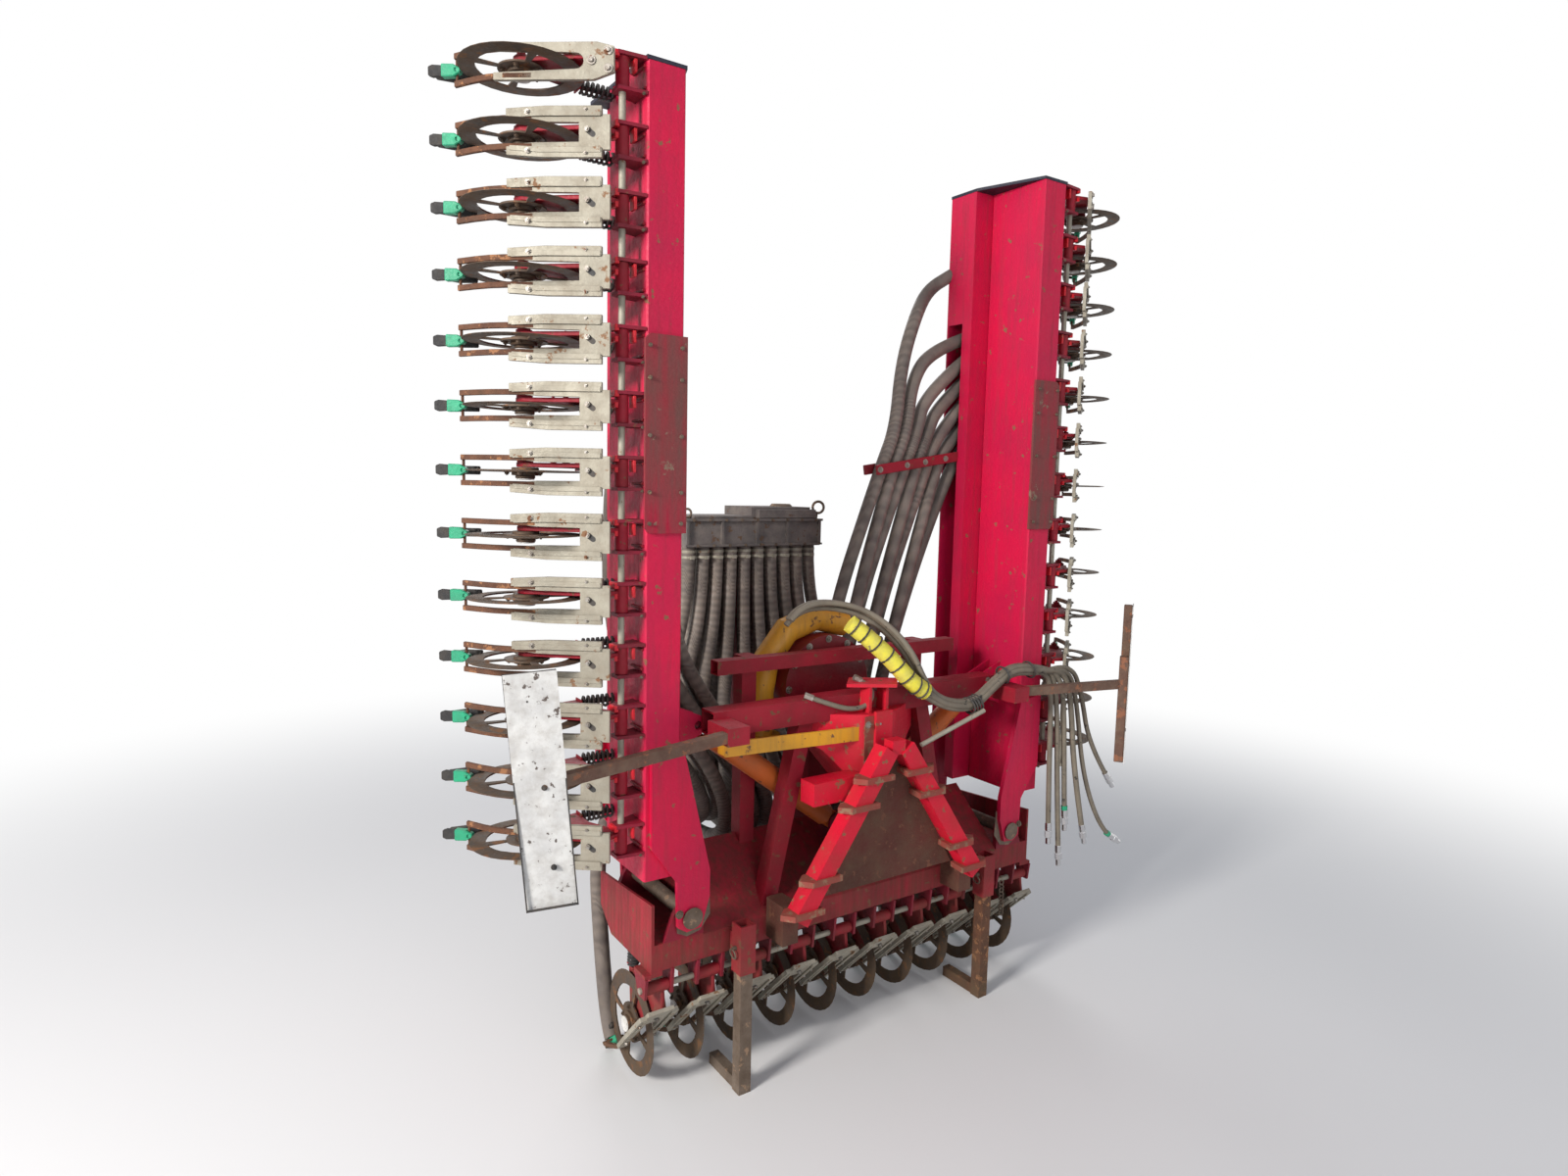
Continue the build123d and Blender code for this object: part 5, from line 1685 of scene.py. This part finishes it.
def free_hose(name: str, route: Sequence[Vector], diameter: float,
              finish: Finish) -> tuple[bpy.types.Object, float]:
    """Round hose along one open curve.

    Args:
        name: the piece's name.
        route: its control points in metres.
        diameter: outer diameter.
        finish: its material.

    Returns:
        The object and the length of its centreline.
    """
    made, line = open_curve(name, route, 10, diameter / 2)
    made.data.materials.append(finish.material())
    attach(made, "frame")
    length = sum((second - first).length for first, second in zip(line, line[1:]))
    log.info("%s: %.2f m", name, length)
    return made, length


@dataclass
class Plain:
    """The CAD nodes that stay, with their finish and rounded edges."""

    edge: float = 0.0022
    tower_edge: float = 0.0048

    def build(self, nodes: dict[str, bpy.types.Object]) -> None:
        """Give every CAD node a finish, and shown ones a soft edge.

        Args:
            nodes: the frame's nodes by name.
        """
        for name, node in nodes.items():
            finish = self.finish_of(name)
            node.data.materials.clear()
            node.data.materials.append(finish.material())
            if node.hide_render:
                continue
            soft = node.modifiers.new("edge", "BEVEL")
            soft.width = self.tower_edge if name.endswith("_beam") else self.edge
            soft.segments = 3
            soft.limit_method = "ANGLE"
            soft.angle_limit = SHARP_ANGLE
            soft.harden_normals = False

    def finish_of(self, name: str) -> Finish:
        """The finish that a node is given.

        Args:
            name: the node's name.

        Returns:
            The finish.
        """
        groups = (
            (BARE, ("pins", "stand_left")),
            (RUSTY, ("stand_right",)),
            (WEB_SHADE, ("hitch_web",)),
            (HEAD_RED, ("head_block", "head_plates", "hitch_legs", "hitch_stub")),
            (BEAM_SHADE_RED, ("centre_beam",)),
            (DARK_RED, ("cross_beam", "rear_rail", "frame_posts", "stand_sleeves", "distributor_mast",
                        "brackets")),
            (MAROON, ("drum",)),
            (YELLOW, ("slurry_pipe", "tie_bar")),
            (WHITE_BOARD, ("marker_boards",)),
            (WOODEN, ("marker_bars",)),
            (WEATHERED, ("distributor_box",)),
            (COLLAR, ("hitch_collars",)),
            (DOUBLER, ("right_doubler", "left_doubler")),
            (ORANGE, ("barrel_right", "barrel_left")),
            (CHROME, ("piston_right", "piston_left")),
        )
        for finish, names in groups:
            if name in names:
                return finish
        return {"arms": ARM_DARK, "lugs": LUG_SHADE_RED}.get(name.split("_")[-1], RED)


@dataclass(frozen=True)
class Studio:
    """Floor, soft lamps and the photograph's camera."""

    eye: Point = (-2.150, -3.008, 2.057)
    heading: float = math.radians(34.2)
    pitch: float = math.radians(-6.256)
    roll: float = math.radians(1.233)
    sensor: float = 36.0
    focal_share: float = 948 / 1600
    floor_half: float = 40.0
    floor_grey: float = 0.74
    fade: Pair = (2.4, 6.5)
    sky_level: float = 0.40
    aim: Point = (0, 0, 1.4)

    def build(self) -> None:
        """Make the whole studio."""
        self.camera()
        self.floor()
        self.sky()
        self.lamp("key", (-7.1, -2.0, 3.9), 640.0, 1.5, (1.0, 0.96, 0.92))
        self.lamp("fill", (-0.5, -7.5, 3.2), 110.0, 5.0, (0.95, 0.96, 1.0))
        self.lamp("rim", (2.5, 6.0, 5.5), 130.0, 3.5, (1.0, 1.0, 1.0))

    def camera(self) -> None:
        """Camera where the photograph was taken."""
        level = Vector((math.sin(self.heading), math.cos(self.heading), 0))
        ahead = level * math.cos(self.pitch) + Vector((0, 0, math.sin(self.pitch)))
        right = ahead.cross(Vector((0, 0, 1))).normalized()
        up = right.cross(ahead)
        turned = right * math.cos(self.roll) + up * math.sin(self.roll)
        raised = up * math.cos(self.roll) - right * math.sin(self.roll)
        data = bpy.data.cameras.new("camera")
        data.lens = self.focal_share * self.sensor
        data.sensor_width = self.sensor
        made = stood("camera", data)
        axes = Matrix((turned, raised, -ahead)).transposed().to_4x4()
        made.matrix_world = Matrix.Translation(self.eye) @ axes
        bpy.context.scene.camera = made

    def floor(self) -> None:
        """Pale floor that fades to white far from the machine."""
        form = bmesh.new()
        bmesh.ops.create_grid(form, x_segments=1, y_segments=1, size=self.floor_half)
        data = bpy.data.meshes.new("floor")
        form.to_mesh(data)
        form.free()
        made = stood("floor", data)
        paint, nodes = started("pale_floor")
        grey = (self.floor_grey, self.floor_grey, self.floor_grey, 1.0)
        base = nodes.add("ShaderNodeBsdfPrincipled", {"Base Color": grey, "Roughness": 0.9})
        place = nodes.add("ShaderNodeNewGeometry").outputs["Position"]
        reach = nodes.add("ShaderNodeVectorMath", {0: place}, operation="LENGTH").outputs["Value"]
        far = nodes.ranged(reach, self.fade, smooth=True)
        share = nodes.maths("MULTIPLY", far, nodes.shown_rays())
        white = nodes.add("ShaderNodeEmission")
        nodes.show(nodes.add("ShaderNodeMixShader", {0: share, 1: base.outputs[0], 2: white.outputs[0]}))
        data.materials.append(paint)

    def sky(self) -> None:
        """White surroundings for the camera and reflections, with a softer level for light."""
        world = bpy.data.worlds.new("studio")
        bpy.context.scene.world = world
        world.use_nodes = True
        nodes = Graph(world.node_tree, "ShaderNodeOutputWorld")
        cool = (0.86, 0.90, 1.0, 1.0)
        soft = nodes.add("ShaderNodeBackground", {"Color": cool, "Strength": self.sky_level})
        white = nodes.add("ShaderNodeBackground", {"Color": (1.0, 1.0, 1.0, 1.0), "Strength": 1.0})
        inputs = {0: nodes.shown_rays(), 1: soft.outputs[0], 2: white.outputs[0]}
        nodes.show(nodes.add("ShaderNodeMixShader", inputs))

    def lamp(self, name: str, place: Point, power: float, size: float, colour: Colour) -> None:
        """Square soft lamp that looks at the machine.

        Args:
            name: the lamp's name.
            place: where it hangs.
            power: its power in watts.
            size: length of its side.
            colour: colour of its light.
        """
        data = bpy.data.lights.new(name, "AREA")
        data.energy = power
        data.size = size
        data.color = colour
        made = stood(name, data)
        way = Vector(self.aim) - Vector(place)
        made.matrix_world = Matrix.Translation(place) @ way.to_track_quat("-Z", "Y").to_matrix().to_4x4()


def main() -> None:
    """Build the studio, then each part of the machine."""
    logging.basicConfig(level=logging.INFO, format="%(name)s: %(message)s")
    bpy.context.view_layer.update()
    bpy.context.scene.view_settings.view_transform = "Standard"
    Studio().build()
    CoulterRows(Coulter()).build()
    Hoses().build()
    for side in Side:
        Tower(side).build()
    Distributor().build()
    HitchHead().build()
    Hydraulics().build()
    Boards().build()
    Chains().build()
    Plain().build(frame["nodes"])


if __name__ == "__main__":
    main()
